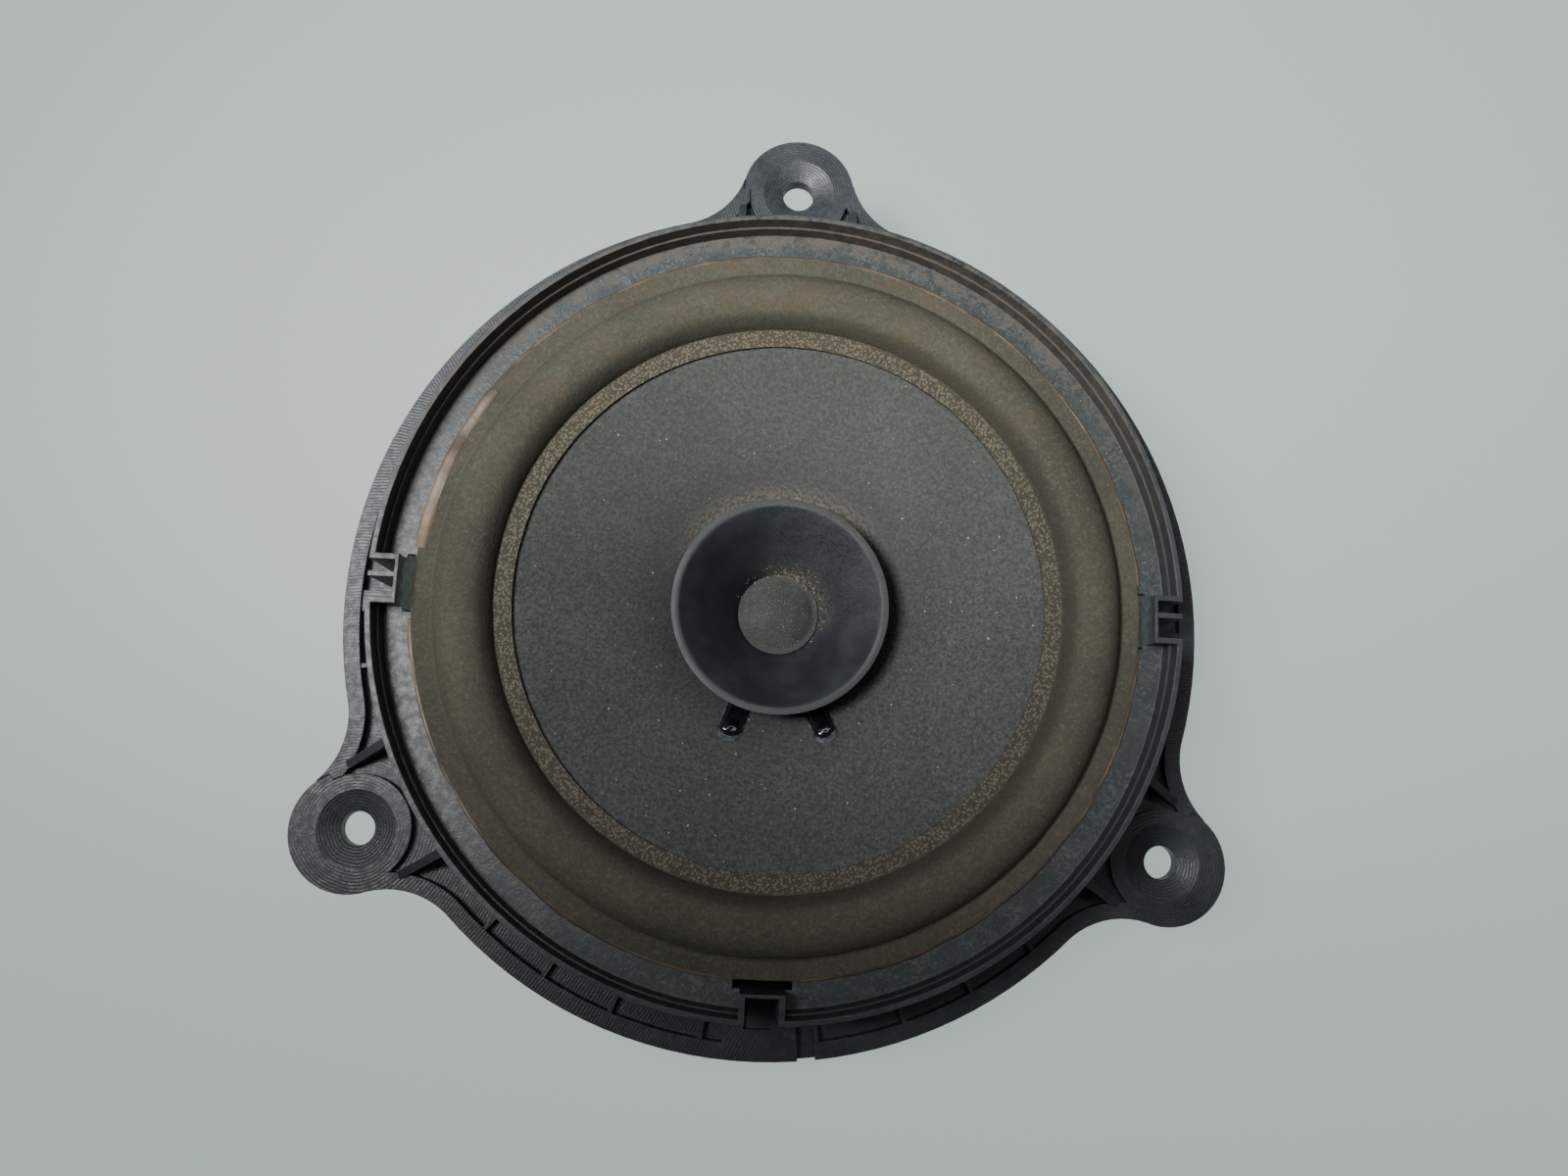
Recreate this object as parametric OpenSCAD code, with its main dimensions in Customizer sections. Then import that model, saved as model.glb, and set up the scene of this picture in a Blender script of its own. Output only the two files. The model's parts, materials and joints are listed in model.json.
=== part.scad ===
// Car door speaker: a main cone with a whizzer cone, in a moulded basket with a tall front collar.
// The origin is the centre of the mounting face, the plane of the three ears' rear faces.
// +Z points out of the front of the speaker, and the top ear lies towards +Y.
// Each height hangs from the one before it: collar, shelf, cone, spider, motor.

/* [Flange and ears] */
// Diameter of the flange, without its ears
flange_d = 169; // [160:1:210]
// Thickness of the flange floor
floor_t = 2.5; // [2:0.1:4]
// Width of the raised lip round the flange
flange_lip_w = 3.1; // [2:0.1:5]
// Height of the raised lip above the mounting face
flange_lip_h = 4.7; // [4:0.1:8]
// Distance of each screw hole outside the flange edge
ear_reach = 5.5; // [4:0.1:9]
// Diameter of the screw holes
ear_hole_d = 6.5; // [4:0.1:8]
// Diameter of the ear's round end
ear_d = 23.4; // [22:0.2:30]
// Diameter of the round pad about each screw hole
ear_pad_d = 20.8; // [16:0.2:22]
// Height of the pad above the mounting face
ear_pad_h = 4.2; // [3.5:0.1:6]
// Diameter of the dished middle of the pad
ear_dish_d = 15; // [10:0.5:16]
// Depth of the dish
ear_dish_depth = 1.3; // [0.5:0.1:2]
// Radius of the hollow fillets where an ear runs into the flange
ear_fillet_r = 16; // [8:1:24]
// Thickness of the stiffening ribs in the flange channel
rib_t = 0.9; // [0.8:0.1:2]
// Thickness of the gussets beside the ears
gusset_t = 1.6; // [1:0.1:2.5]
// Distance of each gusset from the line through its ear
gusset_offset = 11.6; // [10:0.2:14]
// Height of a gusset where it meets the collar
gusset_h = 12; // [7:0.5:18]

/* [Collar and shelf] */
// Outer diameter of the collar at its front lip
collar_d = 146.7; // [130:1:160]
// Height of the collar lip above the mounting face
collar_h = 28; // [20:0.5:36]
// Thickness of the collar at its lip
lip_t = 0.95; // [0.8:0.05:1.5]
// Thickness of the collar at the shelf
wall_t = 1.85; // [1.6:0.05:2.5]
// How far the collar widens down to the flange
collar_draft = 0.8; // [0:0.1:2]
// Depth of the shelf below the collar lip
shelf_drop = 5.2; // [3:0.1:8]
// Thickness of the shelf
shelf_t = 2; // [1.5:0.1:3]
// Width of bare shelf between the surround and the collar
shelf_show = 5; // [4.4:0.1:8]

/* [Grille clips] */
// Distance of a clip's inner face from the surround's edge
clip_gap = 1.6; // [1:0.1:2.5]
// Width of each side clip
side_clip_w = 8.8; // [7:0.1:12]
// Width of the bottom clip
end_clip_w = 7.9; // [6.6:0.1:12]
// Thickness of the clips' side walls
clip_wall = 1; // [0.8:0.1:1.2]
// Thickness of the clips' inner wall
clip_face_t = 0.6; // [0.5:0.1:1]
// Height of the clip walls, down from the collar lip
clip_h = 11; // [8:0.5:16]
// Length of the slot in the shelf before each clip
clip_slot_w = 10.5; // [9:0.1:14]

/* [Basket back] */
// Thickness of the bowl wall behind the shelf
bowl_t = 2.4; // [2:0.1:3.5]
// How far the bowl narrows from the shelf to its waist
bowl_narrow = 3.3; // [2:0.1:8]
// Height of the bowl's waist above the mounting face
waist_z = 2; // [0:0.5:6]
// Width of the spokes between the windows
spoke_w = 10; // [6:0.5:14]
// Half width of the bottom spoke, which carries the connector
panel_half = 13; // [12.4:0.2:18]
// Inner radius of the windows
window_r = 44; // [42:0.5:50]
// Thickness of the seat plate that the motor hangs from
seat_plate_t = 2.5; // [2:0.1:4]

/* [Surround] */
// Thickness of the foam
surround_t = 0.8; // [0.5:0.1:1.2]
// Width of the flange glued to the shelf
surround_flange_w = 3.8; // [3:0.1:6]
// Width of the half-roll
roll_w = 10.4; // [8:0.2:13]
// Height of the half-roll above its flanges
roll_h = 4.2; // [3:0.1:5]
// Width of the flange glued to the cone
surround_inner_w = 3.6; // [2.5:0.1:6]
// Width of the glue bead at the surround's outer edge
bead_w = 0.8; // [0.4:0.1:1.5]

/* [Cones and cap] */
// Depth of the cone from its edge to its neck
cone_depth = 20; // [14:0.5:26]
// Thickness of the cone paper
cone_t = 0.7; // [0.4:0.1:1.2]
// Diameter of the whizzer cone's rim
whizzer_d = 40.8; // [34:0.2:50]
// Height of the whizzer rim above the cone neck
whizzer_h = 16.3; // [12:0.1:20]
// Thickness of the whizzer paper
whizzer_t = 0.4; // [0.3:0.05:0.8]
// Width of the whizzer's flat lip
whizzer_lip_w = 1.4; // [0.8:0.1:2.5]
// How far the cap's rim reaches past the coil former
cap_reach = 0.3; // [0:0.1:0.5]
// Height of the cap's dome above its rim
cap_dome_h = 2.3; // [1:0.1:4]
// Distance of the glue bars' outer ends from the axis
lead_end_r = 26; // [23:0.5:32]
// Width of the glue bars
lead_bar_w = 4.2; // [3:0.2:6]
// Angle between the two glue bars
lead_spread = 42.8; // [30:0.5:60]
// How far the pair of glue bars is turned from the connector's side
lead_turn = 1.8; // [-5:0.1:5]

/* [Voice coil and spider] */
// Bore of the voice coil former
coil_bore = 14.8; // [13:0.1:20]
// Thickness of the former
former_t = 0.2; // [0.1:0.05:0.5]
// Thickness of the winding
winding_t = 0.4; // [0.2:0.05:0.8]
// Height of the winding
winding_h = 9; // [6:0.5:14]
// Diameter of the spider
spider_d = 62; // [50:1:70]
// Thickness of the spider cloth
spider_t = 0.5; // [0.3:0.1:0.8]
// Height of the spider's waves
spider_wave_h = 1; // [0.5:0.1:1.5]
// Distance of the spider below the cone neck
spider_drop = 8.3; // [6:0.1:12]
// Room between the spider and the motor
spider_room = 8.8; // [8:0.1:12]
// Width of the spider's glued edge
spider_seat_w = 4; // [3:0.1:6]

/* [Motor] */
// Diameter of the steel plates
plate_d = 66; // [60:1:90]
// Thickness of the steel plates
plate_t = 5; // [3:0.1:8]
// Diameter of the ferrite ring
magnet_d = 70; // [62:1:90]
// Bore of the ferrite ring
magnet_bore = 32; // [26:1:40]
// Thickness of the ferrite ring
magnet_t = 12; // [8:0.5:18]
// Thickness of the glue films between magnet and plates
motor_glue_t = 0.2; // [0.1:0.05:0.4]
// Running clearance inside and outside the coil
coil_gap = 0.4; // [0.3:0.05:0.8]
// Radius of the circle through the four rivets
rivet_circle_r = 23.5; // [22:0.5:25]
// Diameter of the rivet shanks
rivet_d = 3; // [2:0.1:4]

/* [Connector and leads] */
// Width of the connector housing
plug_w = 22; // [20:0.5:24]
// Depth of the connector housing, outwards from its panel
plug_d = 10; // [8:0.5:12]
// Height of the connector housing
plug_h = 14; // [10:0.5:20]
// Wall thickness of the connector housing
plug_wall = 1.4; // [1:0.1:2]
// Distance between the two terminals
blade_pitch = 10; // [8:0.5:11]
// Width of the terminal blades
blade_w = 2.8; // [2:0.1:3.2]
// Thickness of the terminal blades
blade_t = 0.6; // [0.4:0.1:1]
// Diameter of the flexible leads
lead_d = 1.2; // [0.8:0.1:1.6]
// Thickness of the foam seal behind the flange
seal_t = 2.5; // [1.5:0.1:4]
// Width of the foam seal
seal_w = 6; // [4:0.5:8]

/* [Hidden] */
$fn = 96;

// A hair's overlap for pieces that are joined or cut.
eps = 0.02;
// How far the bowl runs up into the shelf.
joint_lap = 0.5;
// How far the ears' fillets run past touching, so that their ends cross the outline cleanly.
fillet_cross = 0.03;

// Radii of the flange and ears.
flange_r = flange_d / 2;
ear_hole_r = flange_r + ear_reach;
ear_angles = [90, 210, 330];
// The two lower ears' round ends sit a little further out than their holes.
ear_shifts = [0, 1, 1];

// Radii of the collar, from the lip inwards.
lip_r = collar_d / 2;
wall_r = lip_r - wall_t;
skirt_in_r = wall_r + 0.3;
collar_foot_r = lip_r + collar_draft;
surround_r = wall_r - shelf_show;
roll_out_r = surround_r - surround_flange_w;
roll_in_r = roll_out_r - roll_w;
cone_show_r = roll_in_r - surround_inner_w;
cone_r = roll_in_r - 0.3;
shelf_in_r = roll_out_r + 0.2;
clip_r = surround_r + clip_gap;

// Heights, from the collar lip down to the motor.
shelf_z = collar_h - shelf_drop;
shelf_under_z = shelf_z - shelf_t;
step_z = shelf_z + shelf_drop / 2;
cone_edge_z = shelf_z + 0.3;
neck_z = cone_edge_z - cone_depth;
former_top_z = neck_z + 1.9;
spider_z = neck_z - spider_drop;
spider_seat_z = spider_z - spider_t / 2;
motor_z = spider_z - spider_room;
seat_plate_z = motor_z + seat_plate_t;
top_plate_z = motor_z - plate_t;
magnet_top_z = top_plate_z - motor_glue_t;
magnet_z = magnet_top_z - magnet_t;
back_plate_top_z = magnet_z - motor_glue_t;
back_z = back_plate_top_z - plate_t;
gap_mid_z = motor_z - plate_t / 2;

// Radii round the coil.
former_in_r = coil_bore / 2;
former_r = former_in_r + former_t;
winding_r = former_r + winding_t;
pole_r = former_in_r - coil_gap;
plate_bore_r = winding_r + coil_gap;
pole_spigot_r = pole_r - 1.8;
whizzer_r = whizzer_d / 2;
cap_rim_r = former_r + cap_reach;
spider_r = spider_d / 2;
seat_hole_r = 19.5;

// The bowl behind the shelf.
waist_r = shelf_in_r - bowl_narrow;
bowl_foot_r = max(spider_r, plate_d / 2) + 4.5;
spoke_angles = [30, 90, 150, 210, 330];
window_top_z = shelf_under_z - 4;
web_t = 2.4;

// The bottom boss on the flange and the ribs that bound its two pockets.
boss_angles = [265.3, 275.4];
boss_rib_angles = [262.4, 278];
rib_angles = [
    for (a = [10:10:350])
        if (min([for (e = ear_angles) abs(a - e)]) > 15 && a != 180 && abs(a - 270) > 15) a
];

// The connector stands behind the bottom spoke.
panel_y = -(waist_r + bowl_t);
plug_top_z = -1;
plug_z = plug_top_z - plug_h;
blade_y = panel_y - plug_d / 2 + 0.7;
lug_z = 5;
lug_y = -(waist_r - 4);
tab_h = 5;
rivet_x = plug_w / 2 - 2.2;
rivet_z = plug_top_z + 2.8;
rivet_r = 1;
rivet_head_r = 1.9;

// The seal's radii, its groove's depth and the room beside it.
seal_out_r = flange_r - 2.5;
seal_in_r = seal_out_r - seal_w;
seal_groove = 0.5;
seal_room = 0.2;

// The two glue bars and the eyelets under their ends.
lead_angles = [270 + lead_turn - lead_spread / 2, 270 + lead_turn + lead_spread / 2];
eyelet_r = lead_end_r - 2;
eyelet_tube_r = 1;
bar_start_r = former_r + 2.2;
bar_h = 1.4;

// Height of the cone's front face at radius r: steeper at the neck, shallower at the edge.
function cone_share(r) = (r - former_r) / (cone_show_r - former_r);
function cone_z(r) = neck_z + cone_depth * (cone_share(r) + 0.25 * cone_share(r) * (1 - cone_share(r)));

// Height of the whizzer's inner face at radius r.
whizzer_rim_z = neck_z + whizzer_h;
whizzer_neck_z = neck_z + 1.1;
flare_r = whizzer_r - whizzer_lip_w;
function flare_share(r) = (r - former_r) / (flare_r - former_r);
function whizzer_z(r) = whizzer_neck_z
    + (whizzer_rim_z - whizzer_neck_z) * (flare_share(r) + 0.3 * flare_share(r) * (1 - flare_share(r)));

function steps(from, to, count) = [for (i = [0:count]) from + (to - from) * i / count];
function reversed(list) = [for (i = [len(list) - 1:-1:0]) list[i]];
function polar(r, a, z = 0) = [r * cos(a), r * sin(a), z];
function polar_plan(r, a) = [r * cos(a), r * sin(a)];

cone_radii = steps(former_r, cone_show_r, 14);
whizzer_radii = steps(former_r, flare_r, 12);

// A ring of rectangular section between two radii and two heights.
module ring(inner_r, outer_r, low_z, high_z) {
    rotate_extrude()
        translate([inner_r, low_z])
            square([outer_r - inner_r, high_z - low_z]);
}

// A block lying outwards along +X, centred on the XZ plane.
module slab(from_x, to_x, width, low_z, high_z) {
    translate([from_x, -width / 2, low_z])
        cube([to_x - from_x, width, high_z - low_z]);
}

// ---- Basket ----

// Plan of one ear along +X, with its outline drawn in by inset all round.
module ear_plan(shift, inset) {
    ear_x = ear_hole_r + shift;
    end_r = ear_d / 2 - inset;
    fillet_r = ear_fillet_r + inset + fillet_cross;
    reach = flange_r + ear_fillet_r;
    fillet_x = (ear_x * ear_x + reach * reach - pow(ear_d / 2 + ear_fillet_r, 2)) / (2 * ear_x);
    fillet_y = sqrt(reach * reach - fillet_x * fillet_x);
    translate([ear_x, 0])
        circle(end_r);
    for (side = [-1, 1])
        difference() {
            polygon([[0, 0], [ear_x, 0], [fillet_x, side * fillet_y]]);
            translate([fillet_x, side * fillet_y])
                circle(fillet_r);
        }
}

module flange_plan(inset) {
    circle(flange_r - inset);
    for (i = [0:2])
        rotate(ear_angles[i])
            ear_plan(ear_shifts[i], inset);
}

// Plan of the round pad of one ear along +X. Beyond the hole it runs out to the ear's own end.
module pad_plan(shift) {
    translate([ear_hole_r, 0])
        circle(ear_pad_d / 2);
    intersection() {
        translate([ear_hole_r + shift, 0])
            circle(ear_d / 2);
        translate([ear_hole_r, -ear_d])
            square(2 * ear_d);
    }
}

module ear_hole_and_dish() {
    translate([ear_hole_r, 0, -1])
        cylinder(d = ear_hole_d, h = flange_lip_h + 2);
    translate([ear_hole_r, 0, ear_pad_h - ear_dish_depth])
        cylinder(d1 = ear_hole_d, d2 = ear_dish_d, h = ear_dish_depth + eps);
}

// Two gussets from the collar down to the ear, parallel to the line through the ear.
module gussets() {
    foot_x = ear_hole_r - 3;
    toe_drop = 0.35;
    for (side = [-1, 1])
        translate([0, side * gusset_offset + gusset_t / 2, 0])
            rotate([90, 0, 0])
                linear_extrude(gusset_t)
                    polygon([
                        [lip_r - 1, 0], [foot_x, 0], [foot_x, flange_lip_h - toe_drop],
                        [lip_r + 1, gusset_h], [lip_r - 1, gusset_h]
                    ]);
}

module flange() {
    difference() {
        union() {
            linear_extrude(floor_t)
                flange_plan(0);
            difference() {
                linear_extrude(flange_lip_h)
                    lip_plan();
                for (i = [0:2])
                    rotate(ear_angles[i])
                        translate([0, 0, ear_pad_h])
                            linear_extrude(flange_lip_h)
                                pad_plan(ear_shifts[i]);
            }
            for (i = [0:2])
                rotate(ear_angles[i])
                    linear_extrude(ear_pad_h)
                        pad_plan(ear_shifts[i]);
            for (a = concat(rib_angles, boss_rib_angles))
                rotate(a)
                    slab(lip_r, flange_r - flange_lip_w + 0.3, rib_t, 0, flange_lip_h - 0.3);
        }
        translate([0, 0, -1])
            cylinder(r = lip_r, h = flange_lip_h + 2);
        for (a = ear_angles)
            rotate(a)
                ear_hole_and_dish();
        boss_recess();
    }
    intersection() {
        for (a = ear_angles)
            rotate(a)
                gussets();
        ring(skirt_in_r + 0.5, ear_hole_r, 0, collar_h);
    }
}

// Plan of the raised lip, with the raised block at the bottom of the flange and the notch beside it.
module lip_plan() {
    difference() {
        union() {
            difference() {
                flange_plan(0);
                flange_plan(flange_lip_w);
            }
            intersection() {
                circle(flange_r - flange_lip_w / 2);
                wedge(boss_angles[0], boss_angles[1]);
            }
        }
        wedge(boss_angles[1] - 0.1, boss_rib_angles[1] - 0.4);
    }
}

// A flat wedge from the centre out past the ears, between two angles less than a right angle apart.
module wedge(from, to) {
    reach = ear_hole_r + ear_d;
    polygon([[0, 0], polar_plan(reach, from), polar_plan(reach, to)]);
}

// A shallow recess in the boss behind the bottom clip.
module boss_recess() {
    recess_w = end_clip_w - 2 * clip_wall - 0.6;
    rotate(270)
        slab(lip_r - 1, collar_foot_r + 4.5, recess_w, flange_lip_h - 1.2, flange_lip_h + 1);
}

// The collar wall and the shelf, with a small step half way up the inside.
module collar_and_shelf() {
    rotate_extrude()
        polygon([
            [lip_r - lip_t, collar_h], [lip_r, collar_h], [collar_foot_r, 0], [skirt_in_r, 0],
            [skirt_in_r, shelf_under_z], [shelf_in_r, shelf_under_z], [shelf_in_r, shelf_z],
            [wall_r, shelf_z], [wall_r + 0.2, step_z], [lip_r - lip_t - 0.3, step_z]
        ]);
}

// The bowl wall with its windows, the motor's seat plate and the spider's seat.
module bowl() {
    difference() {
        rotate_extrude()
            polygon([
                [shelf_in_r + bowl_t, shelf_under_z + joint_lap], [waist_r + bowl_t, waist_z],
                [bowl_foot_r, motor_z], [seat_hole_r, motor_z], [seat_hole_r, seat_plate_z],
                [bowl_foot_r - bowl_t, seat_plate_z], [waist_r, waist_z + 0.8],
                [shelf_in_r + 0.15, shelf_under_z + joint_lap]
            ]);
        difference() {
            ring(window_r, skirt_in_r, motor_z - 1, window_top_z);
            for (a = spoke_angles)
                rotate(a)
                    slab(window_r - 2, skirt_in_r + 1, spoke_w, motor_z - 2, window_top_z + 1);
            rotate(270)
                slab(window_r - 2, skirt_in_r + 1, 2 * panel_half, motor_z - 2, window_top_z + 1);
        }
        for (a = [45:90:315])
            rotate(a)
                translate([rivet_circle_r, 0, motor_z - 1])
                    cylinder(d = rivet_d, h = seat_plate_t + 2);
        // The bowl's slanting foot stays clear of the terminals and the housing.
        rotate(270)
            slab(waist_r + bowl_t, skirt_in_r, plug_w + 1, motor_z - 2, plug_top_z);
    }
    ring(spider_r - spider_seat_w, spider_r + 1.4, seat_plate_z - eps, spider_seat_z);
    ring(spider_r + 0.3, spider_r + 1.4, spider_seat_z - eps, spider_seat_z + 1.2);
}

// Radial webs under the shelf that tie the spokes to the collar.
module webs() {
    intersection() {
        union() {
            for (a = spoke_angles)
                rotate(a)
                    slab(waist_r + 0.6, skirt_in_r + 0.6, web_t, waist_z + 2, shelf_under_z + eps);
            for (side = [-1, 1])
                rotate(270)
                    translate([0, side * (panel_half - web_t / 2), 0])
                        slab(waist_r + 0.6, skirt_in_r + 0.6, web_t, waist_z + 2, shelf_under_z + eps);
        }
        ring(waist_r - 3, skirt_in_r + 0.6, 0, shelf_z);
    }
}

// The flat panel on the bottom spoke.
module terminal_panel() {
    translate([-panel_half, panel_y, plug_z + 6])
        cube([2 * panel_half, bowl_t, shelf_under_z + eps - plug_z - 6]);
}

// Slots for the terminals, and holes with flat seats for the rivets, through the panel and the bowl.
module terminal_ways() {
    for (side = [-1, 1]) {
        translate([side * blade_pitch / 2 - blade_w / 2 - 0.2, panel_y - 1, lug_z - blade_t - 0.2])
            cube([blade_w + 0.4, bowl_t + 3, blade_t + 0.4]);
        translate([side * rivet_x, 0, rivet_z])
            rotate([-90, 0, 0]) {
                translate([0, 0, panel_y - 1])
                    cylinder(r = rivet_r + 0.05, h = bowl_t + 3);
                translate([0, 0, panel_y + bowl_t])
                    cylinder(r = rivet_head_r + 0.3, h = bowl_t);
            }
    }
}

// Walls of a clip along +X: a thin inner face and two sides out to the collar.
module clip_walls(width) {
    slab(clip_r, clip_r + clip_face_t, width, collar_h - clip_h, collar_h);
    for (side = [-1, 1])
        translate([0, side * (width - clip_wall) / 2, 0])
            slab(clip_r, lip_r - 0.15, clip_wall, collar_h - clip_h, collar_h);
}

// The pocket between a clip's walls, cut through the shelf and the collar.
module clip_pocket(width, low_z) {
    slab(clip_r + clip_face_t, collar_foot_r + 0.5, width - 2 * clip_wall, low_z, collar_h + 1);
}

// The slot in the shelf between the surround's edge and a clip's inner face.
module clip_slot() {
    slab(surround_r + 0.1, clip_r, clip_slot_w, shelf_under_z - 1, shelf_z + 1);
}

// Floors of a side clip along +X: a triangular web, a divider and a raised floor out to the flange lip.
module side_clip_floors() {
    divider_y = 0.7;
    half = side_clip_w / 2 - clip_wall;
    face_x = clip_r + clip_face_t;
    out_x = skirt_in_r + 0.6;
    linear_extrude(floor_t)
        polygon([[face_x - eps, divider_y], [out_x, divider_y], [out_x, half + eps]]);
    translate([face_x + 0.7, -half - eps, 0])
        cube([flange_r - flange_lip_w - face_x, half + divider_y, flange_lip_h - 0.6]);
    translate([face_x - eps, divider_y - 0.45, 0])
        cube([lip_r - face_x - 0.1, 0.9, collar_h]);
    // The inner face and sides run on down to the floors that they carry.
    slab(clip_r, face_x, side_clip_w, 0, collar_h - clip_h + eps);
    for (side = [-1, 1])
        translate([0, side * (side_clip_w - clip_wall) / 2, 0])
            slab(clip_r, out_x, clip_wall, 0, collar_h - clip_h + eps);
}

// The flange, collar and shelf, with the clips' pockets and slots cut through them.
module front_frame() {
    difference() {
        union() {
            flange();
            collar_and_shelf();
        }
        for (a = [0, 180])
            rotate(a) {
                clip_pocket(side_clip_w, floor_t);
                clip_slot();
            }
        rotate(270) {
            clip_pocket(end_clip_w, flange_lip_h - 1.2);
            clip_slot();
        }
    }
}

module basket() {
    color([0.20, 0.22, 0.25])
        difference() {
            union() {
                front_frame();
                for (side = [0, 1])
                    mirror([side, 0, 0]) {
                        clip_walls(side_clip_w);
                        side_clip_floors();
                    }
                rotate(270)
                    clip_walls(end_clip_w);
                webs();
                difference() {
                    union() {
                        bowl();
                        terminal_panel();
                    }
                    terminal_ways();
                }
            }
            ring(seal_in_r - seal_room, seal_out_r + seal_room, -1, seal_groove);
        }
}

// A foam ring in its groove behind the flange, proud of the ears' rear faces by its thickness.
module rear_seal() {
    color([0.10, 0.10, 0.11])
        ring(seal_in_r, seal_out_r, -seal_t, seal_groove);
}

// ---- Moving diaphragm ----

// Half-roll of foam with a flange each side. The roll is an arc that springs from both flanges.
module surround() {
    mid_r = (roll_out_r + roll_in_r) / 2;
    half_w = roll_w / 2;
    arc_r = (half_w * half_w + roll_h * roll_h) / (2 * roll_h);
    base_z = cone_edge_z;
    color([0.36, 0.34, 0.27])
        rotate_extrude() {
            translate([roll_out_r - 0.1, shelf_z])
                square([surround_flange_w + 0.1, surround_t]);
            translate([cone_show_r, base_z])
                square([surround_inner_w + 0.1, surround_t]);
            intersection() {
                translate([mid_r, base_z + roll_h - arc_r])
                    difference() {
                        circle(arc_r + surround_t / 2);
                        circle(arc_r - surround_t / 2);
                    }
                translate([roll_in_r - 0.3, base_z])
                    square([roll_w + 0.6, 3 * roll_h]);
            }
        }
}

// The bead stops short at the three slots before the clips.
module surround_glue_bead() {
    color([0.62, 0.42, 0.22])
        difference() {
            ring(surround_r, surround_r + bead_w, shelf_z, shelf_z + surround_t / 2);
            for (a = [0, 180, 270])
                rotate(a)
                    slab(surround_r - 1, clip_r, clip_slot_w + 0.4, shelf_z - 1, shelf_z + 1);
        }
}

// The space behind the cone's front face, to cut from what is glued on it.
module behind_cone() {
    rotate_extrude()
        polygon(concat(
            [[0, neck_z - 6]],
            [[0, cone_z(former_r)]],
            [for (r = cone_radii) [r, cone_z(r)]],
            [[cone_show_r, neck_z - 6]]
        ));
}

module cone() {
    back_drop = cone_t * 1.15;
    color([0.27, 0.29, 0.31])
        difference() {
            rotate_extrude()
                polygon(concat(
                    [for (r = cone_radii) [r, cone_z(r)]],
                    [[cone_r, cone_edge_z], [cone_r, cone_edge_z - cone_t]],
                    [for (r = reversed(cone_radii)) [r, cone_z(r) - back_drop]]
                ));
            for (a = lead_angles)
                translate(polar(eyelet_r, a, neck_z - 2))
                    cylinder(r = eyelet_tube_r, h = cone_depth);
        }
}

// The whizzer's wall follows its flare, and its neck is a short tube on the former.
module whizzer_cone() {
    wall_out = whizzer_t * 0.7;
    color([0.15, 0.17, 0.20])
        rotate_extrude()
            polygon(concat(
                [[former_r, neck_z + 0.5]],
                [for (r = whizzer_radii) [r, whizzer_z(r)]],
                [[whizzer_r, whizzer_rim_z - 0.1], [whizzer_r, whizzer_rim_z - 0.1 - whizzer_t]],
                [for (r = reversed(whizzer_radii)) [r + wall_out, whizzer_z(r) - 1.6 * wall_out]],
                [[former_r + whizzer_t, neck_z + 0.5]]
            ));
}

// Glue that joins the necks of the two cones to the former.
module neck_glue() {
    glue_in_r = former_r + whizzer_t + eps;
    color([0.10, 0.10, 0.11])
        difference() {
            rotate_extrude()
                polygon([
                    [glue_in_r, neck_z - 0.2], [glue_in_r + 1.4, neck_z + 0.6], [glue_in_r + 0.25, neck_z + 1],
                    [glue_in_r, neck_z + 0.7]
                ]);
            behind_cone();
        }
}

// A domed cap on a flat rim that rests on the end of the former.
module dust_cap() {
    rim_t = 0.4;
    dome_r = cap_rim_r - 1;
    sphere_r = (dome_r * dome_r + cap_dome_h * cap_dome_h) / (2 * cap_dome_h);
    centre_z = former_top_z + rim_t + cap_dome_h - sphere_r;
    color([0.35, 0.36, 0.37])
        rotate_extrude() {
            difference() {
                intersection() {
                    translate([0, centre_z])
                        circle(sphere_r);
                    translate([0, former_top_z])
                        square([dome_r + 0.2, 3 * cap_dome_h]);
                }
                translate([0, centre_z])
                    circle(sphere_r - rim_t);
            }
            translate([dome_r, former_top_z])
                square([cap_rim_r - dome_r, rim_t]);
        }
}

// Lengthwise section of a glue bar: it follows the cone's face and thins out at its end.
module bar_section() {
    shoulder_r = lead_end_r - 2;
    polygon([
        [bar_start_r, cone_z(bar_start_r) - 2], [lead_end_r, cone_z(lead_end_r) - 2],
        [lead_end_r, cone_z(lead_end_r) + 0.4], [shoulder_r, cone_z(shoulder_r) + bar_h],
        [bar_start_r, cone_z(bar_start_r) + bar_h]
    ]);
}

// Two rounded bars of glue along the front of the cone, over the coil's lead-outs.
module lead_glue() {
    color([0.04, 0.04, 0.05])
        for (a = lead_angles)
            difference() {
                rotate(a)
                    intersection() {
                        translate([0, lead_bar_w / 2, 0])
                            rotate([90, 0, 0])
                                linear_extrude(lead_bar_w)
                                    bar_section();
                        linear_extrude(cone_edge_z)
                            union() {
                                translate([lead_end_r - lead_bar_w / 2, 0])
                                    circle(lead_bar_w / 2);
                                translate([bar_start_r, -lead_bar_w / 2])
                                    square([lead_end_r - lead_bar_w / 2 - bar_start_r, lead_bar_w]);
                            }
                    }
                behind_cone();
                eyelet_space(a);
            }
}

module eyelet_space(a) {
    translate(polar(eyelet_r, a, neck_z))
        cylinder(r = eyelet_tube_r, h = cone_z(eyelet_r) + 0.4 - neck_z);
}

module cone_eyelets() {
    color([0.72, 0.58, 0.30])
        for (a = lead_angles)
            translate(polar(eyelet_r, a, cone_z(eyelet_r) - 2))
                cylinder(r = eyelet_tube_r, h = 2.4);
}

module voice_coil_former() {
    color([0.62, 0.48, 0.32])
        ring(former_in_r, former_r, gap_mid_z - winding_h / 2 - 0.5, former_top_z);
}

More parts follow.
